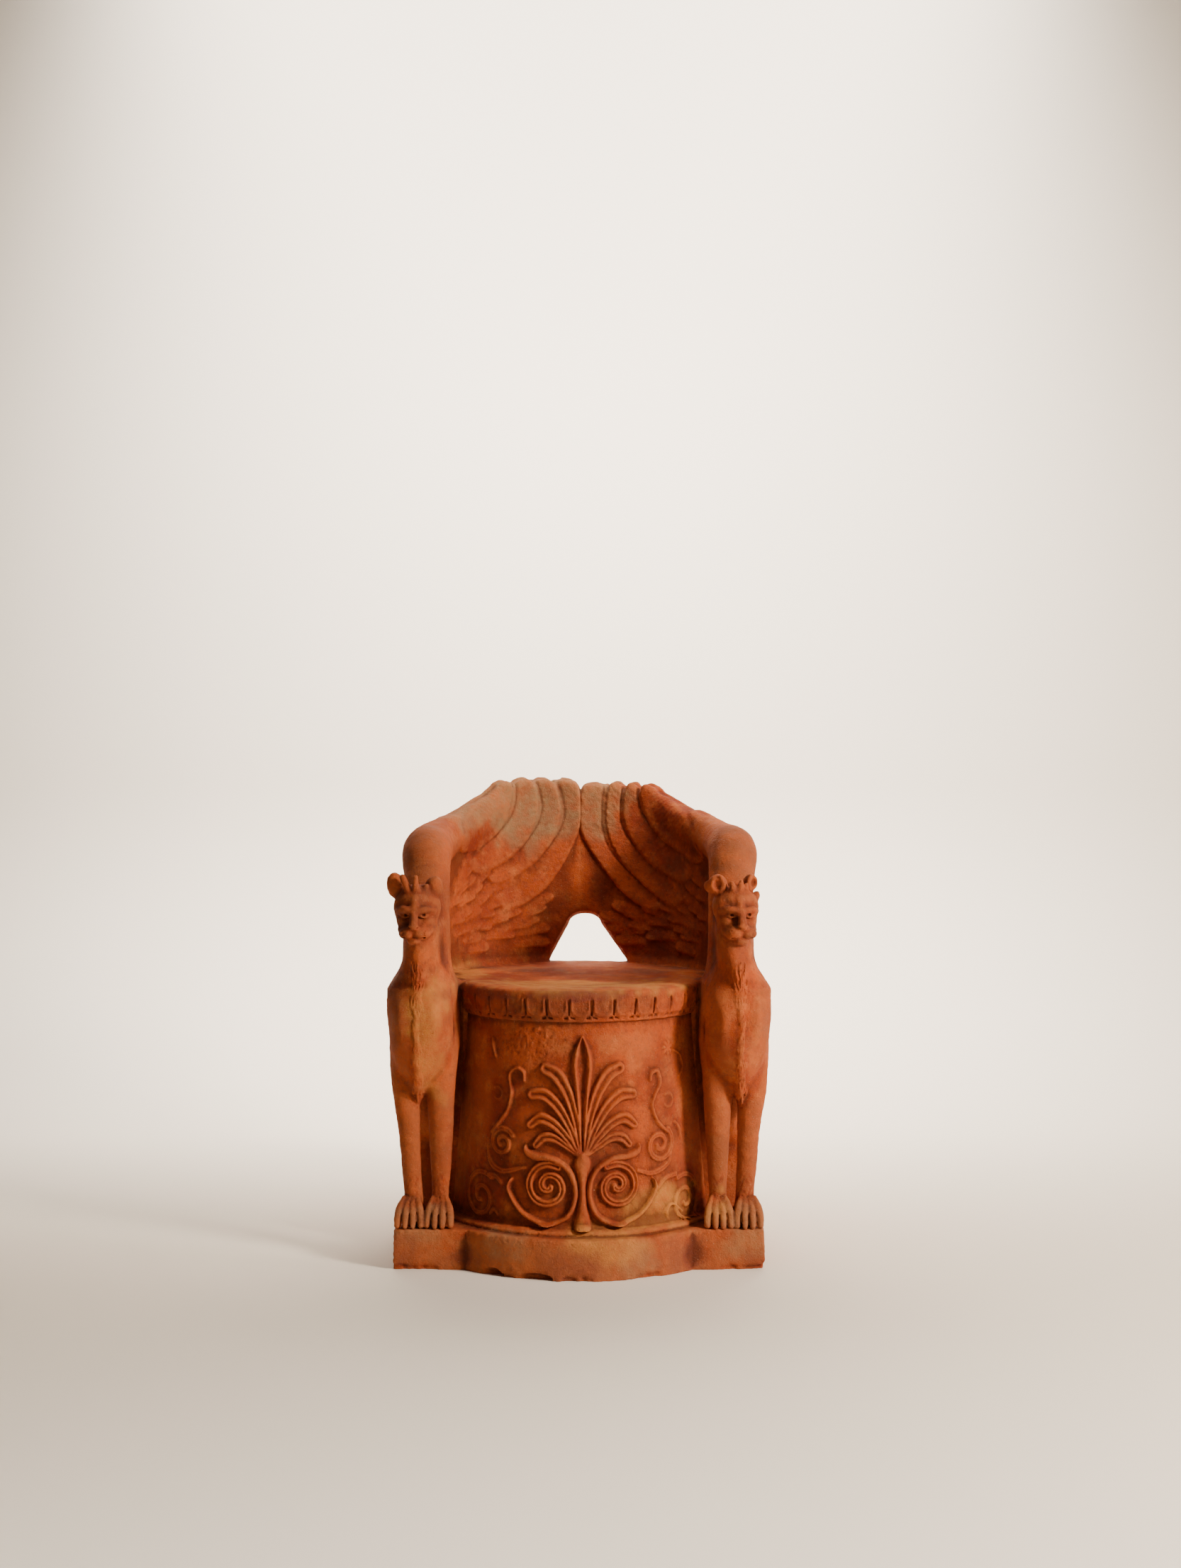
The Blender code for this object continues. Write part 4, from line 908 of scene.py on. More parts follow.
def makeWingWall(clay, side):
    # Works on the +X half, mirrored for the left wing.
    cuts = clay.window((-0.03, -0.14, 0.435), (0.35, 0.32, 0.83))
    if cuts is None:
        return
    cuts, x, y, z = cuts
    rho = np.hypot(x[:, :, 0], y[:, :, 0] - throne["axisY"])
    turn = np.arctan2(x[:, :, 0], y[:, :, 0] - throne["axisY"])
    ups = z[0, 0, :] * 1000
    share = np.clip((z - throne["seat"]) / wing["height"], 0, 1)
    inner = wing["inner"] + wing["lean"] * share
    outer = inner + wing["wall"] - wing["taper"] * share ** 2
    wall = np.maximum(inner - rho[:, :, None], rho[:, :, None] - outer)

    outline = Sheet(wingU(-16), wingU(125), 430, 830, 1.0)
    outline.height = outlineSheet(wingOutline(side), outline) / 1000
    across = turn * (wing["inner"] + wing["wall"] / 2) * 1000
    edge = outline.wrapped(across, ups)
    arch = Sheet(-130, 130, 430, 600, 1.0)
    arch.height = outlineSheet(archOutline(side), arch) / 1000
    hole = arch.wrapped(np.clip(x[:, :, 0] * 1000 + 0 * y[:, :, 0], -128, 128), ups)
    hole = np.where(y > 0.1, hole, 0.05)
    body = -melt(-wall, -edge, 0.014)
    body = -melt(-body, hole, 0.010)
    clay.field[cuts] = melt(clay.field[cuts], body.astype(np.float32), 0.010)

    centre = wing["inner"] + wing["wall"] / 2 + 0.001
    knots = [(centre * math.sin(math.radians(a)), throne["axisY"] + centre * math.cos(math.radians(a)), up, r)
             for a, up, r in wing["limb"]]
    rod(clay, knots, 0.022)

    inside = plumes(side)
    i, j, k = np.nonzero(np.abs(clay.field) < 0.010)
    x, y, z = clay.axes[0][i], clay.axes[1][j], clay.axes[2][k]
    rho = np.hypot(x, y - throne["axisY"])
    turn = np.arctan2(x, y - throne["axisY"])
    middle = wing["inner"] + wing["wall"] / 2
    fade = (softStep(z, 0.468, 0.482) * (1 - softStep(np.degrees(turn), 62, 74)) * (x > -0.02)
            * (1 - softStep(np.degrees(turn), 55, 70) * softStep(z, 0.66, 0.70)))
    inward = 1 - softStep(rho, middle - 0.010, middle - 0.002)
    outward = softStep(rho, middle + 0.002, middle + 0.010) * 0.8
    height = inside.read(turn * middle * 1000, z * 1000) / 1000
    clay.field[i, j, k] -= height * fade * (inward + outward) - 0.003 * fade * inward


def makeFigureClay(clay, side):
    # One figure's whole side of the throne. What lies outside the clay is left out.
    tubWall(clay)
    makeBody(clay, side)
    makeNeck(clay, side)
    makeWingWall(clay, side)
    furLocks(clay, side)
    makeHead(clay, side)


def makeWing(side):
    name = "rightWing" if side > 0 else "leftWing"
    clay = Clay((-0.008, -0.120, 0.444), (0.345, 0.305, 0.822), fine(wing["step"]))
    makeFigureClay(clay, side)
    keepBox(clay, (0.0, -0.100, 0.4600), (0.36, 0.32, 0.83))
    return cast(name, clay, 0.03, mirror=side < 0)


# Beasts, shaped on the +X side and mirrored. Heads are placed by side, and turn a little outwards.
beast = {
    "outline": [(0.236, 0.560), (0.2365, 0.500), (0.224, 0.480), (0.2110, 0.462), (0.2085, 0.440),
                (0.2075, 0.36), (0.2080, 0.29), (0.222, 0.245), (0.268, 0.235), (0.305, 0.245),
                (0.3145, 0.293), (0.3160, 0.338), (0.3195, 0.384), (0.3230, 0.420), (0.3250, 0.440),
                (0.3245, 0.455), (0.312, 0.472), (0.300, 0.486), (0.2925, 0.505), (0.2900, 0.560)],
    "heads": {
        1: {"x": 0.2625, "turn": 10, "neck": 0.2570,
            "ears": [((-30, 0, 50), (16.5, 13, 17.5), -8, -5), ((25, -2, 53), (13, 12, 15.5), 12, 4),
                     ((-45, 7, 46), (7, 9, 10), -20, 0), ((37, 4, 30), (6.5, 10, 9.5), 14, 0)],
            "locks": [[(-8, -18, 34, 9), (-9, -20, 46, 6.5), (-11, -19, 53, 4)],
                      [(2, -19, 36, 10), (4, -21, 48, 6.5), (5, -20, 56, 3.5)],
                      [(13, -17, 34, 8), (13, -18, 44, 5.5), (14, -17, 50, 3.5)]]},
        -1: {"x": 0.2722, "turn": 2, "neck": 0.2660,
             "ears": [((-37, 4, 48), (15, 15, 22), -8, 0), ((28, 0, 46), (15.5, 14, 18.5), 8, 0),
                      ((0, -6, 38), (24, 18, 13), 0, 0)],
             "locks": [[(-11, -18, 38, 8), (-16, -20, 50, 6.4), (-22, -19, 63, 5.2)],
                       [(1, -22, 38, 7.5), (0, -24, 53, 6.0), (0, -22, 63, 4.8)],
                       [(14, -16, 36, 8), (17, -16, 48, 5)]]},
    },
    "headY": -0.150, "headZ": 0.581, "legs": {"outer": 0.2900, "inner": 0.2320},
}


def makeTorso(clay, side):
    low, high = (0.19, -0.23, 0.24), (0.35, -0.03, 0.58)
    found = clay.window([a - 0.02 for a in low], [b + 0.02 for b in high])
    if found is None:
        return
    cuts, x, y, z = found
    sheet = Sheet(0.16, 0.38, 0.20, 0.62, 0.001)
    sheet.height = outlineSheet(beast["outline"], sheet)
    front = sheet.wrapped(x[:, 0, 0], z[0, 0, :])[:, None, :]
    # The breast is a keel between two swelling sides. It ends below in a point between the legs.
    away = np.abs(x - throne["side"])
    keel = 0.52 * (np.sqrt(away ** 2 + 0.005 ** 2) - 0.005)
    swell = 0.010 * np.exp(-((away - 0.031) / 0.016) ** 2) * np.exp(-((z - 0.408) / 0.040) ** 2)
    depth = (throne["front"] + keel - swell + 0.050 * softStep(z, 0.415, 0.525)
             + 0.022 * (1 - softStep(z, 0.265, 0.370)))
    breast = -melt(-(depth - y), -(0.272 + 1.10 * away - z) * 0.66, 0.024)
    breast = np.maximum(breast, y + 0.150)
    # Behind it the trunk is plainer and carries the legs.
    trunk = np.maximum(-0.180 - y + 0.3 * away, np.maximum(y + 0.060, (0.312 - z) * 0.6))
    body = melt(breast, trunk, 0.016)
    body = -melt(-front, -body, 0.034)
    clay.field[cuts] = melt(clay.field[cuts], (body + 0 * x).astype(np.float32), 0.010)


def makeBody(clay, side):
    makeTorso(clay, side)
    centre = throne["side"]
    # The flank runs back and fades into the tub.
    ball(clay, (centre - 0.014, -0.040, 0.370), (0.046, 0.120, 0.092), 0.030)
    ball(clay, (centre - 0.012, -0.055, 0.290), (0.038, 0.080, 0.095), 0.030)
    for start, ankle, knee in ((beast["legs"]["outer"], (0.2765, 0.0152), (0.2835, 0.0185)),
                               (beast["legs"]["inner"], (0.2318, 0.0140), (0.2312, 0.0203))):
        rod(clay, [(start, -0.140, 0.365, 0.027), (start, -0.157, 0.300, 0.0248),
                   (knee[0], -0.165, 0.223, knee[1]), ((knee[0] + ankle[0]) / 2, -0.167, 0.160, 0.0165),
                   (ankle[0], -0.168, 0.114, ankle[1]), (ankle[0] + 0.001, -0.169, 0.092, 0.0175)], 0.011)
        makePaw(clay, ankle[0] + (0.004 if start > centre else 0.0))


def makePaw(clay, x):
    ball(clay, (x, -0.173, 0.085), (0.0215, 0.028, 0.023), 0.009)
    for toe in range(4):
        spread = (toe - 1.5) * 0.0122
        short = 0.004 * (toe in (0, 3))
        rod(clay, [(x + spread * 0.55, -0.178, 0.110, 0.0052), (x + spread * 0.86, -0.194, 0.098, 0.0066),
                   (x + spread * 1.02, -0.2030 + short, 0.085, 0.0062),
                   (x + spread * 1.05, -0.2085 + short, 0.0715, 0.0056)], 0.0022, steps=4)
    for gap in range(3):
        spread = (gap - 1) * 0.0125
        rod(clay, [(x + spread * 0.8, -0.1960, 0.096, 0.0008), (x + spread, -0.2055, 0.084, 0.0016),
                   (x + spread * 1.03, -0.2110, 0.066, 0.0034)], 0.0016, cut=True, steps=3)


# Fur: strands drawn flat and pressed on the front, as offsets from the beast's middle in millimetres.
fur = {
    "keel": [(-7, 512), (-5, 482), (1, 452), (-1, 424), (2, 396), (-2, 366), (1, 334), (-1, 306), (-1, 286)],
    "strands": [(0, 1.3, 0.0, 2.3), (4.2, 1.2, 0.8, 2.1), (-4.1, 1.2, -0.7, 2.1), (8.2, 1.2, 1.7, 1.8),
                (-8.0, 1.1, -1.5, 1.7)],
    "high": 2.3, "tuft": (300, 18, 8), "ruff": (478, 22, 10),
}


def strandShape(height):
    return lambda side, along: (height * (1 - softStep(np.abs(side), 0.05, 1.0)) * softStep(along, 0.0, 0.22)
                                * (0.75 + 0.25 * np.sin(along * 70)))


def furSheet(side):
    sheet = Sheet(-70, 70, 90, 560, 0.7)
    spine = smoothPath(fur["keel"], 8)
    draw = np.random.default_rng(20 + side)
    for aside, wave, shift, half in fur["strands"]:
        knots = []
        for index, (u, v) in enumerate(spine):
            share = index / (len(spine) - 1)
            narrow = 0.30 + 0.70 * abs(2 * share - 1) ** 0.7 if share > 0.35 else 1.0
            knots.append((u + aside * narrow + wave * math.sin(index * 0.62 + shift + side), v,
                          half * (0.6 + 0.4 * narrow)))
        stroke(sheet, knots, strandShape(fur["high"]), steps=2)
    # Short locks at the throat and round the point of the breast.
    for middle, count, spread in (fur["tuft"], fur["ruff"]):
        for lock in range(count):
            u = draw.uniform(-spread, spread)
            v = middle + draw.uniform(-26, 18)
            bend = draw.uniform(-2.5, 2.5)
            knots = [(u + bend, v + 11, 0.8), (u + 1.2 * bend, v + 3, 1.8), (u * 0.7, v - 9, 0.6)]
            stroke(sheet, knots, roundBand(fur["high"] * draw.uniform(0.7, 1.2), 0.05), steps=4)
    # Hairs scratched over the wrists
    for x in (0.2765, 0.2318):
        for hair in range(26):
            u = (x - throne["side"]) * 1000 + draw.uniform(-11, 11)
            v = draw.uniform(106, 152)
            lean = draw.choice((-4.5, 4.5))
            stroke(sheet, [(u, v, 0.7), (u + lean * 0.6, v - 6, 1.1), (u + lean, v - 12, 0.5)],
                   roundBand(-0.9, 0.05), added=True, steps=3)
    return sheet


def furLocks(clay, side):
    found = clay.window((0.19, -0.24, 0.09), (0.345, -0.135, 0.56))
    if found is None:
        return
    sheet = furSheet(side)
    cuts, x, y, z = found
    band = clay.field[cuts]
    i, j, k = np.nonzero(np.abs(band) < 0.008)
    height = sheet.read((x[i, 0, 0] - throne["side"]) * 1000, z[0, 0, k] * 1000) / 1000
    band[i, j, k] -= height * (1 - softStep(y[0, j, 0], -0.160, -0.145))
    clay.field[cuts] = band


def makeNeck(clay, side):
    head = beast["heads"][side]
    top = head["neck"]
    base = throne["side"] - 0.002
    rod(clay, [(base, -0.148, 0.455, 0.038), ((base + top) / 2, -0.158, 0.490, 0.0275),
               (top, -0.161, 0.520, 0.0245), (top, -0.159, 0.560, 0.0245)], 0.018)
    rod(clay, [(base, -0.110, 0.450, 0.045), (top, -0.122, 0.500, 0.0280), (top, -0.126, 0.545, 0.0265),
               (top, -0.128, 0.590, 0.0270)], 0.020)
    # A web of clay ties the neck to the wing's leading edge.
    rod(clay, [(top, -0.110, 0.480, 0.026), (top + 0.002, -0.098, 0.560, 0.026),
               (top + 0.002, -0.090, 0.620, 0.028)], 0.018)
    # The throat comes forward in a soft ridge below the mouth.
    rod(clay, [(top + 0.003, -0.177, 0.552, 0.0120), (top, -0.178, 0.520, 0.0115),
               (base, -0.186, 0.480, 0.0120)], 0.012)


# A face, in millimetres from the head's middle and forwards along -Y. Paired forms are given for one side.
# Lumps are (place, radii, blend), and strands are (knots of a place and a radius, blend).
face = {
    "skull": [((0, 8, 16), (36, 40, 31), 10), ((0, -10, 24), (29, 25, 21), 10),
              ((0, -13, -20), (24, 33, 22), 10), ((0, -19, -35), (17, 24, 9), 8)],
    "cheeks": [((26, -4, 11), (12.5, 20, 20), 9), ((20, -14, -9), (12.5, 20, 16), 9)],
    "socket": ((16.5, -40.5, 0.5), (10.5, 9.0, 6.6), 5), "socketTilt": -10,
    "noseSide": ((12.0, -47, -9), (4.6, 8.5, 10), 5),
    "bridge": ([(0, -29, 26, 8.5), (0, -37, 11, 7.2), (0, -44, -4, 6.8), (0, -49.5, -15, 7.2)], 4),
    "nosePad": ((0, -52.5, -17.5), (8.8, 5.5, 4.8), 2),
    "brow": ([(4, -38, 7.5, 5.2), (12, -38.5, 9.6, 5.6), (22, -32.5, 10.4, 5.6), (30, -22, 7.0, 4.5)], 6),
    "eyeball": ((16.0, -29.8, 1.8), (6.4, 6.0, 4.6), 2.0),
    "upperLid": ([(9.0, -36.0, 0.2, 1.1), (13.0, -37.4, 3.8, 1.5), (18.5, -35.6, 5.6, 1.6),
                  (25.0, -29.5, 4.8, 1.2)], 2.4),
    "lowerLid": ([(9.0, -36.0, -0.4, 1.0), (13.5, -35.8, -2.4, 1.5), (19.5, -33.2, -1.4, 1.5),
                  (25.0, -29.0, 3.0, 1.1)], 3.4),
    "pupil": ((14.8, -36.2, 1.4), (2.9, 4.4, 2.2), 1.2),
    "noseLine": ([(7.5, -42, 1, 1.0), (9.5, -44, -8, 1.3), (13.0, -45, -15, 1.0)], 1.5),
    "muzzle": ((11.5, -40.0, -27.0), (14.0, 12.5, 9.5), 7), "muzzleTilt": 18,
    "lip": ([(9, -45, -30, 6.0), (18, -37, -30, 6.5), (25, -25, -25, 5)], 6),
    "nostril": ([(5.8, -56.0, -20.0, 1.8), (8.4, -52.5, -18.0, 1.4)], 0.8),
    "whisker": ([(13, -54.5, 0, 0.5), (18, -50.0, -1.0, 0.7), (22, -43, -2.0, 0.4)], 0.8),
    "whiskerTop": -23.5, "whiskerGap": 3.2,
    "chin": ((0, -38, -42), (12.0, 13.0, 6.5), 4),
    "cleft": ([(0, -57, -22, 1.1), (0, -56.5, -29, 1.5), (0, -54.5, -36, 1.6)], 1.0),
    "mouth": ([(-23, -31, -28.0, 1.2), (-16.5, -45, -36.0, 1.8), (-6, -53.5, -38.4, 1.8),
               (0, -55, -37.0, 1.6), (6, -53.5, -38.4, 1.8), (16.5, -45, -36.0, 1.8),
               (23, -31, -28.0, 1.2)], 1.4),
    "frown": ([(3.0, -42, 8, 0.4), (4.0, -41, 14, 0.4)], 1.2),
}


def makeHead(clay, side):
    head = beast["heads"][side]
    turn = turnAbout("z", head["turn"])
    middle = np.array((head["x"], beast["headY"], beast["headZ"]))

    def at(x, y, z):
        return middle + turn @ (np.array((x, y, z)) / 1000)

    def lump(place, radii, blend=5.0, tilt=None, cut=False, way=1):
        x, y, z = place
        spin = turn if tilt is None else turn @ tilt
        ball(clay, at(way * x, y, z), [r / 1000 for r in radii], blend / 1000, spin, cut)

    def strand(knots, blend=3.0, cut=False, steps=4, way=1, rise=0.0):
        rod(clay, [(*at(way * x, y, z + rise), r / 1000) for x, y, z, r in knots], blend / 1000, cut, steps)

    # Skull, forehead, temples, cheeks and jaw
    for form in face["skull"]:
        lump(*form)
    for way in (1, -1):
        for form in face["cheeks"]:
            lump(*form, way=way)
    # Eye sockets, and the hollows beside the nose
    for way in (1, -1):
        lump(*face["socket"], turnAbout("y", way * face["socketTilt"]), cut=True, way=way)
        lump(*face["noseSide"], cut=True, way=way)
    strand(*face["bridge"])
    lump(*face["nosePad"])
    for way in (1, -1):
        # Brow, eyeball, lids and pupil
        strand(*face["brow"], way=way)
        lump(*face["eyeball"], way=way)
        strand(*face["upperLid"], way=way)
        strand(*face["lowerLid"], way=way)
        lump(*face["pupil"], cut=True, way=way)
        strand(*face["noseLine"], cut=True, way=way)
        # Muzzle, broad and soft, with the nostrils above
        lump(*face["muzzle"], turnAbout("y", way * face["muzzleTilt"]), way=way)
        strand(*face["lip"], way=way)
        strand(*face["nostril"], cut=True, steps=2, way=way)
        for row in range(3):
            rise = face["whiskerTop"] - face["whiskerGap"] * row
            strand(*face["whisker"], cut=True, steps=2, way=way, rise=rise)
    lump(*face["chin"])
    strand(*face["cleft"], cut=True)
    strand(*face["mouth"], cut=True)
    for way in (1, -1):
        strand(*face["frown"], cut=True, steps=3, way=way)
    # Ears and forelock, given as the viewer sees them
    for place, radii, tilt, hollow in head["ears"]:
        spin = turnAbout("y", side * tilt)
        x, y, z = place[0] * side, place[1], place[2]
        lump((x, y, z), radii, 6, spin)
        if hollow:
            lump((x + side * hollow, y - radii[1] * 0.92, z), (radii[0] * 0.42, 6.0, radii[2] * 0.52), 3.5,
                 spin, cut=True)
            strand([(x - side * hollow * 0.8, y - radii[1] * 0.7, z - radii[2] * 0.6, 3.6),
                    (x - side * hollow * 1.5, y - radii[1] * 0.95, z, 3.4),
                    (x - side * hollow * 0.4, y - radii[1] * 0.75, z + radii[2] * 0.78, 3.4)], 3)
    for lock in head["locks"]:
        strand([(side * x, y, z, r) for x, y, z, r in lock], 3.0)


def makeFigure(side):
    word = "right" if side > 0 else "left"
    clay = Clay((0.188, -0.232, 0.054), (0.350, 0.068, 0.476), fine(0.0017))
    makeFigureClay(clay, side)
    keepBox(clay, (0.196, -0.226, 0.062), (0.36, 0.056, 0.4600))
    body = cast(f"{word}Beast", clay, 0.03, mirror=side < 0)
    clay = Clay((0.175, -0.225, 0.450), (0.342, -0.088, 0.668), fine(0.00115))
    makeFigureClay(clay, side)
    keepBox(clay, (0.184, -0.222, 0.4600), (0.36, -0.100, 0.665))
    head = cast(f"{word}Head", clay, 0.015, mirror=side < 0)
    return [body, head]


# Rear tub: the closed body of the chair below the wings, and the seat's ledge round the drum.
tub = {"radius": 0.289, "front": 0.070, "step": 0.0028, "under": [(0.180, 0.0030), (0.200, 0.0006)]}


def ledgeTop(rho):
    # The clay behind stays under the drum's dish, and is level beyond it.
    radii, ups = np.array(drum["profile"][:drum["dishPoints"]]).T
    places, depths = np.array(tub["under"]).T
    return np.interp(rho, radii, ups) - np.interp(rho, places, depths)


def tubWall(clay):
    if clay.axes[1][-1] < throne["axisY"] - tub["front"] - 0.02:
        return
    x, y, z = clay.axes[0][:, None, None], clay.axes[1][None, :, None], clay.axes[2][None, None, :]
    rho = np.hypot(x, y - throne["axisY"])
    side = rho - tub["radius"]
    front = (throne["axisY"] - tub["front"]) - y
    straight = np.maximum(np.abs(x) - tub["radius"], y - throne["axisY"])
    plan = np.where(y > throne["axisY"], side, straight)
    body = -melt(-plan, -front, 0.012)
    body = -melt(-body, ledgeTop(rho) - z, 0.006)
    clay.field[...] = melt(clay.field, (body + 0 * z).astype(np.float32), 0.006)


def makeTub():
    clay = Clay((-0.330, 0.036, 0.050), (0.330, 0.300, 0.480), fine(tub["step"]))
    for half, side in ((clay, 1), (clay.mirrored(), -1)):
        makeFigureClay(half, side)
    keepBox(clay, (-0.36, 0.056, 0.062), (0.36, 0.32, 0.4600))
    return cast("rearTub", clay, 0.04)


# Plinth: square blocks under the beasts, a bow under the drum and a round back, chipped along its foot.
plinth = {
    "half": 0.3055, "bow": 0.2705, "top": 0.066, "blockFront": 0.196, "step": 0.0021, "edge": 0.003,
    "chips": [((-0.150, -0.246, 0.004), (0.034, 0.010, 0.009)),
              ((-0.075, -0.276, 0.002), (0.040, 0.009, 0.009)),
              ((0.302, -0.214, 0.002), (0.014, 0.012, 0.009)),
              ((-0.306, -0.215, 0.066), (0.008, 0.006, 0.010)),
              ((0.252, -0.2145, 0.002), (0.022, 0.005, 0.007)),
              ((-0.300, -0.214, 0.003), (0.016, 0.006, 0.007)),
              ((0.306, -0.10, 0.004), (0.010, 0.030, 0.010)), ((-0.20, 0.216, 0.004), (0.024, 0.014, 0.010))],
    "wear": 0.0075, "wearHigh": 0.013,
    "ring": [(-0.02, 0.073), (0.2440, 0.073), (0.2470, 0.0702), (0.2470, 0.021), (-0.02, 0.021)],
}


def plinthDistance(x, y):
    rear = np.where(y > throne["axisY"], np.hypot(x, y - throne["axisY"]) - plinth["half"],
                    np.maximum(np.abs(x) - plinth["half"], throne["axisY"] - plinth["blockFront"] - y))
    bow = np.hypot(x, y - throne["axisY"]) - plinth["bow"]
    return np.minimum(rear, bow)


def makePlinth():
    clay = Clay((-0.315, -0.297, -0.006), (0.315, 0.297, 0.072), fine(plinth["step"]))
    x, y, z = clay.axes[0][:, None, None], clay.axes[1][None, :, None], clay.axes[2][None, None, :]
    plan = plinthDistance(x, y)
    clay.field = (-melt(-plan + 0 * z, plinth["top"] - z + 0 * plan, plinth["edge"] * 2)).astype(np.float32)
    for centre, radii in plinth["chips"]:
        ball(clay, centre, radii, 0.006, cut=True)
    i, j, k = np.nonzero((np.abs(clay.field) < 0.02) & (z < 0.03) & (plan > -0.03))
    place = np.stack([clay.axes[0][i], clay.axes[1][j], clay.axes[2][k]], axis=1)
    flat = place * (1, 1, 0.35)
    rough = grain(flat, 0.055, 4.0) + 0.6 * grain(flat, 0.019, 2.0) + 0.3 * grain(flat, 0.008)
    bite = softStep(rough, 0.0, 0.9)
    near = softStep(plan[i, j, 0], -0.014, -0.003) * (1 - softStep(place[:, 2], 0.0, plinth["wearHigh"]))
    clay.field[i, j, k] += (plinth["wear"] * bite * near).astype(np.float32)
    clay.field = melt(clay.field, latheDistance(clay, plinth["ring"]), 0.0015)
    keepBox(clay, (-0.33, -0.32, 0.0), (0.33, 0.32, 0.0722), 0.0006)
    return cast("plinthBase", clay, 0.05, rough=1.8)


# Fired clay, mottled and weathered, with painted shade in its hollows and in some stain spots. Stains and the
# hollow measure come from the mesh's own attributes.
clayColours = {
    "orange": (0.480, 0.084, 0.014, 1), "red": (0.265, 0.033, 0.008, 1), "pale": (0.590, 0.170, 0.045, 1),
    "bloom": (0.300, 0.180, 0.085, 1), "ochre": (0.620, 0.270, 0.055, 1), "soot": (0.100, 0.045, 0.026, 1),
    "plum": (0.165, 0.036, 0.022, 1), "dust": (0.310, 0.165, 0.075, 1), "creaseShadeAndGrit": (0.085, 0.014, 0.004, 1),
    "speck": (0.66, 0.45, 0.30, 1), "smoke": (0.130, 0.038, 0.018, 1),
}

# Each stain's name, the scale that breaks it up and its strength
stainLooks = [("smoke", 30, 0.72), ("dust", 48, 0.75), ("ochre", 40, 0.75), ("bloom", 34, 0.85),
              ("plum", 45, 0.95), ("soot", 55, 0.85)]


def makeClay():
    material = bpy.data.materials.new("firedClay")
    material.use_nodes = True
    nodes, links = material.node_tree.nodes, material.node_tree.links
    shader = nodes["Principled BSDF"]
    place = nodes.new("ShaderNodeTexCoord").outputs["Object"]

    def noise(scale, detail=4.0, roughness=0.55):
        node = nodes.new("ShaderNodeTexNoise")
        node.inputs["Scale"].default_value = scale
        node.inputs["Detail"].default_value = detail
        node.inputs["Roughness"].default_value = roughness
        links.new(place, node.inputs["Vector"])
        return node.outputs["Fac"]

    def span(value, low, high, bottom=0.0, top=1.0):
        node = nodes.new("ShaderNodeMapRange")
        node.inputs["From Min"].default_value = low
        node.inputs["From Max"].default_value = high
        node.inputs["To Min"].default_value = bottom
        node.inputs["To Max"].default_value = top
        links.new(value, node.inputs["Value"])
        return node.outputs["Result"]

    def both(kind, a, b):
        node = nodes.new("ShaderNodeMath")
        node.operation = kind
        for socket, value in zip(node.inputs, (a, b)):
            if isinstance(value, (int, float)):
                socket.default_value = value
            else:
                links.new(value, socket)
        return node.outputs[0]

    def mixed(factor, below, above):
        node = nodes.new("ShaderNodeMix")
        node.data_type = "RGBA"
        links.new(factor, node.inputs[0])
        for socket, value in ((node.inputs[6], below), (node.inputs[7], above)):
            if isinstance(value, tuple):
                socket.default_value = value
            else:
                links.new(value, socket)
        return node.outputs[2]

    def attribute(name):
        node = nodes.new("ShaderNodeAttribute")
        node.attribute_name = name
        return node.outputs["Fac"]

    colour = mixed(span(noise(9, 5, 0.6), 0.36, 0.64), clayColours["orange"], clayColours["red"])
    colour = mixed(span(noise(26, 5, 0.65), 0.52, 0.80, 0.0, 0.8), colour, clayColours["pale"])
    colour = mixed(span(noise(15, 7, 0.72), 0.48, 0.68, 0.0, 0.45), colour, clayColours["smoke"])
    colour = mixed(span(noise(160, 5, 0.7), 0.50, 0.66, 0.0, 0.5), colour, clayColours["smoke"])
    for name, scale, strength in stainLooks:
        broken = both("MULTIPLY", attribute(name), span(noise(scale, 6, 0.7), 0.30, 0.62, 0.35, 1.0))
        colour = mixed(both("MULTIPLY", broken, strength), colour, clayColours[name])
    # Painted shade: creases and hollows are darkened towards a near-black red, following the hollow
    # attribute.
    deep = span(attribute("hollow"), 0.08, 0.85, 0.0, 0.66)
    colour = mixed(deep, colour, clayColours["creaseShadeAndGrit"])
    worn = span(attribute("hollow"), -0.12, -0.60, 0.0, 0.22)
    colour = mixed(worn, colour, clayColours["pale"])
    specks = span(noise(620, 2, 0.5), 0.70, 0.76, 0.0, 0.5)
    colour = mixed(specks, colour, clayColours["speck"])
    # Fine dark grit, in the same near-black red as the painted crease shade.
    grit = span(noise(380, 3, 0.6), 0.30, 0.24, 0.0, 0.6)
    colour = mixed(grit, colour, clayColours["creaseShadeAndGrit"])
    links.new(colour, shader.inputs["Base Color"])
    links.new(span(noise(70, 4, 0.6), 0.3, 0.7, 0.74, 0.95), shader.inputs["Roughness"])
    shader.inputs["Specular IOR Level"].default_value = 0.25

    bump = nodes.new("ShaderNodeBump")
    bump.inputs["Strength"].default_value = 0.9
    bump.inputs["Distance"].default_value = 0.0018
    tooth = both("ADD", noise(420, 5, 0.7), both("MULTIPLY", noise(130, 4, 0.6), 1.2))
    links.new(tooth, bump.inputs["Height"])
    links.new(bump.outputs["Normal"], shader.inputs["Normal"])
    return material


stage = {
    "near": -4.2, "back": 0.9, "bend": 0.8, "steps": 12, "high": 4.5, "half": 5.0,
    "paper": (0.86, 0.79, 0.70, 1), "air": (1.0, 0.92, 0.82, 1), "airStrength": 0.045,
}


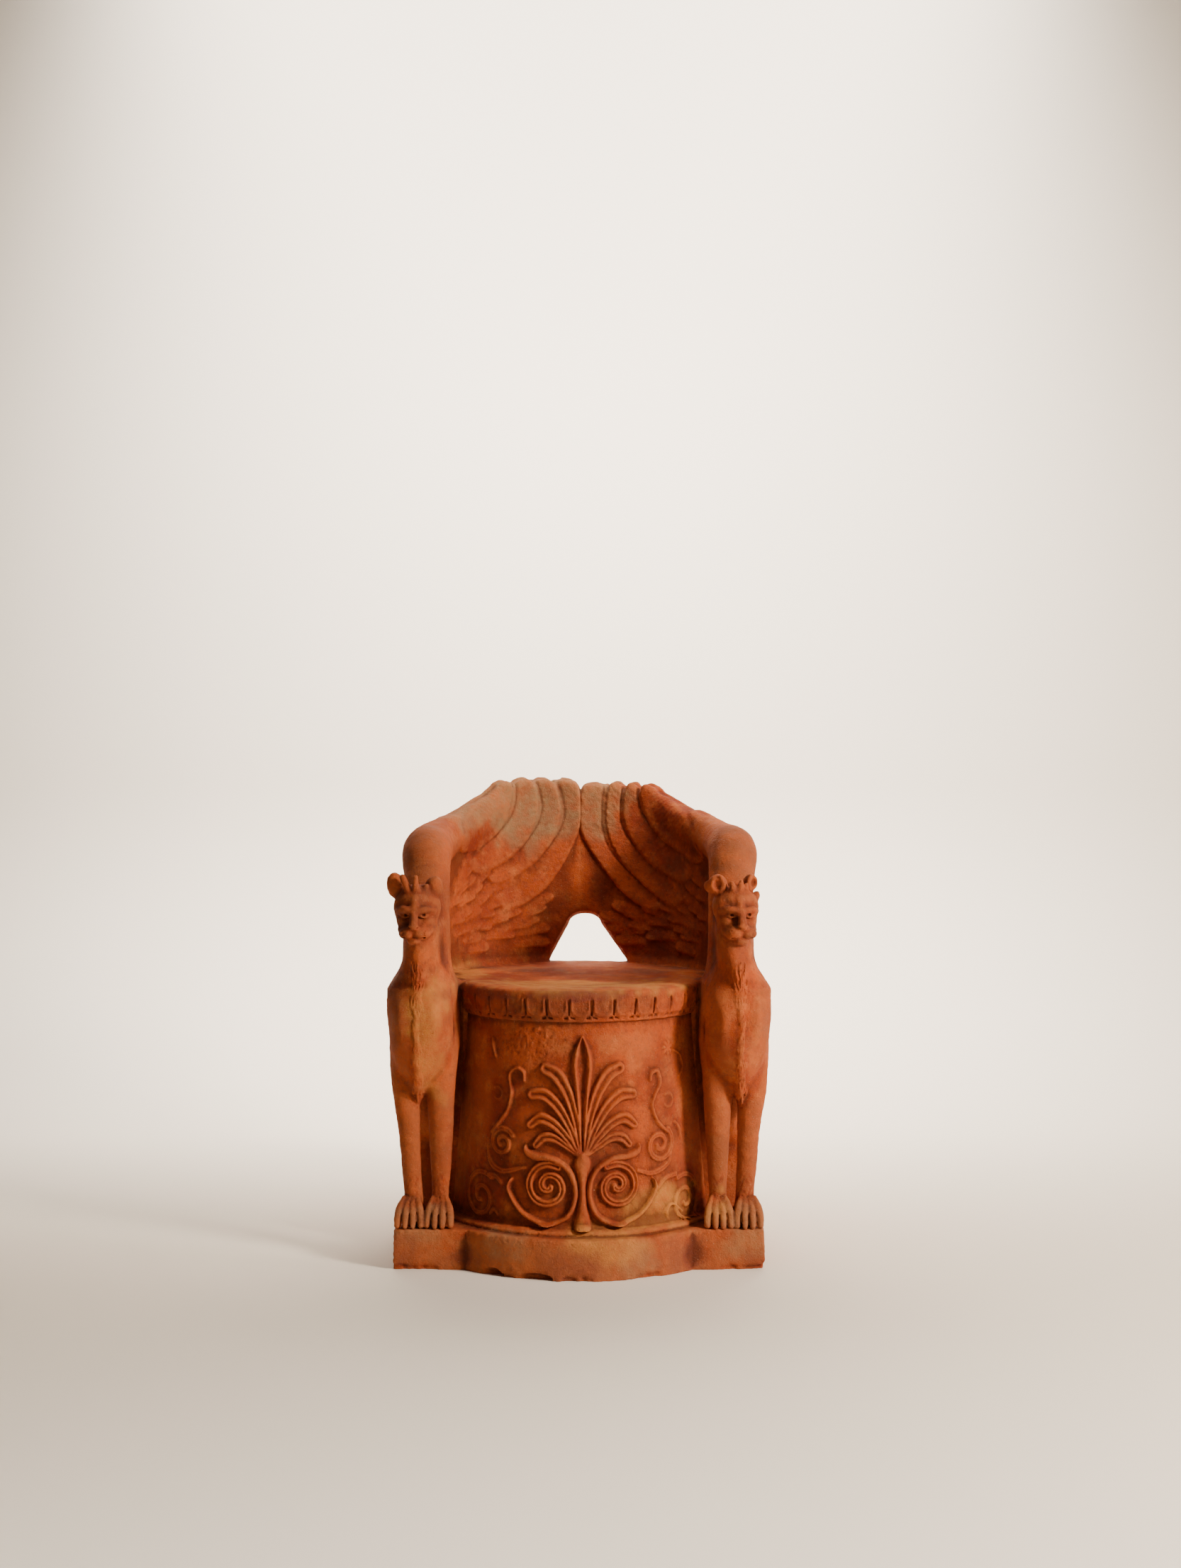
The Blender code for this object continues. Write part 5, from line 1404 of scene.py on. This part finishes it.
def makeStage():
    # A pale sweep: the floor runs back and curves up into a wall.
    form = bmesh.new()
    back, bend = stage["back"], stage["bend"]
    profile = [(stage["near"], 0.0), (back, 0.0)]
    for step in range(1, stage["steps"] + 1):
        angle = math.pi / 2 * step / stage["steps"]
        profile.append((back + bend * math.sin(angle), bend * (1 - math.cos(angle))))
    profile.append((back + bend, stage["high"]))
    rows = [[form.verts.new((x, y, z)) for x in (-stage["half"], stage["half"])] for y, z in profile]
    for low, high in zip(rows, rows[1:]):
        form.faces.new((low[0], low[1], high[1], high[0]))
    mesh = bpy.data.meshes.new("sweep")
    form.to_mesh(mesh)
    form.free()
    mesh.polygons.foreach_set("use_smooth", np.ones(len(mesh.polygons), bool))
    sweep = bpy.data.objects.new("sweep", mesh)
    bpy.context.scene.collection.objects.link(sweep)
    paper = bpy.data.materials.new("palePaper")
    paper.use_nodes = True
    shader = paper.node_tree.nodes["Principled BSDF"]
    shader.inputs["Base Color"].default_value = stage["paper"]
    shader.inputs["Roughness"].default_value = 0.9
    mesh.materials.append(paper)


lights = {
    "key": {"place": (2.22, -1.62, 1.70), "aim": (0.0, 0.0, 0.40), "size": 0.55, "power": 138, "spread": 180,
            "colour": (1.0, 0.87, 0.72)},
    "wall": {"place": (0.0, 0.85, 3.3), "aim": (0.0, 2.1, 1.2), "size": 2.4, "power": 170, "spread": 80,
             "colour": (1.0, 0.93, 0.84)},
    "floor": {"place": (0.2, -2.2, 3.2), "aim": (0.1, -2.2, 0.0), "size": 2.0, "power": 16, "spread": 50,
              "colour": (1.0, 0.93, 0.84)},
}


def makeLights():
    for name, values in lights.items():
        lamp = bpy.data.lights.new(name, "AREA")
        lamp.size = values["size"]
        lamp.spread = math.radians(values["spread"])
        lamp.energy = values["power"]
        lamp.color = values["colour"]
        holder = bpy.data.objects.new(name, lamp)
        holder.location = values["place"]
        away = np.array(values["aim"]) - np.array(values["place"])
        tilt = math.acos(-away[2] / np.linalg.norm(away))
        holder.rotation_euler = (tilt, 0.0, math.atan2(away[1], away[0]) - math.pi / 2)
        bpy.context.scene.collection.objects.link(holder)
    world = bpy.data.worlds.new("studio")
    world.use_nodes = True
    background = world.node_tree.nodes["Background"]
    background.inputs["Color"].default_value = stage["air"]
    background.inputs["Strength"].default_value = stage["airStrength"]
    bpy.context.scene.world = world


# The photograph's camera is level.
view = {"place": (0.019, -3.2135, 0.80), "lens": 41.84, "sensor": 36}


def makeCamera():
    camera = bpy.data.cameras.new("view")
    camera.lens = view["lens"]
    camera.sensor_width = view["sensor"]
    holder = bpy.data.objects.new("view", camera)
    holder.location = view["place"]
    holder.rotation_euler = (math.pi / 2, 0.0, 0.0)
    bpy.context.scene.collection.objects.link(holder)
    bpy.context.scene.camera = holder


makeCamera()
makeLights()
makeStage()
clayFinish = makeClay()
pieces = [makePlinth(), makeSeatDrum(), makeRimLeaves(), makeTub()]
for handed in (-1, 1):
    pieces.append(makeWing(handed))
    pieces += makeFigure(handed)
for piece in pieces:
    if not piece.data.materials:
        piece.data.materials.append(clayFinish)
    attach(piece, "root")
    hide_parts("throne")

say("all pieces made")
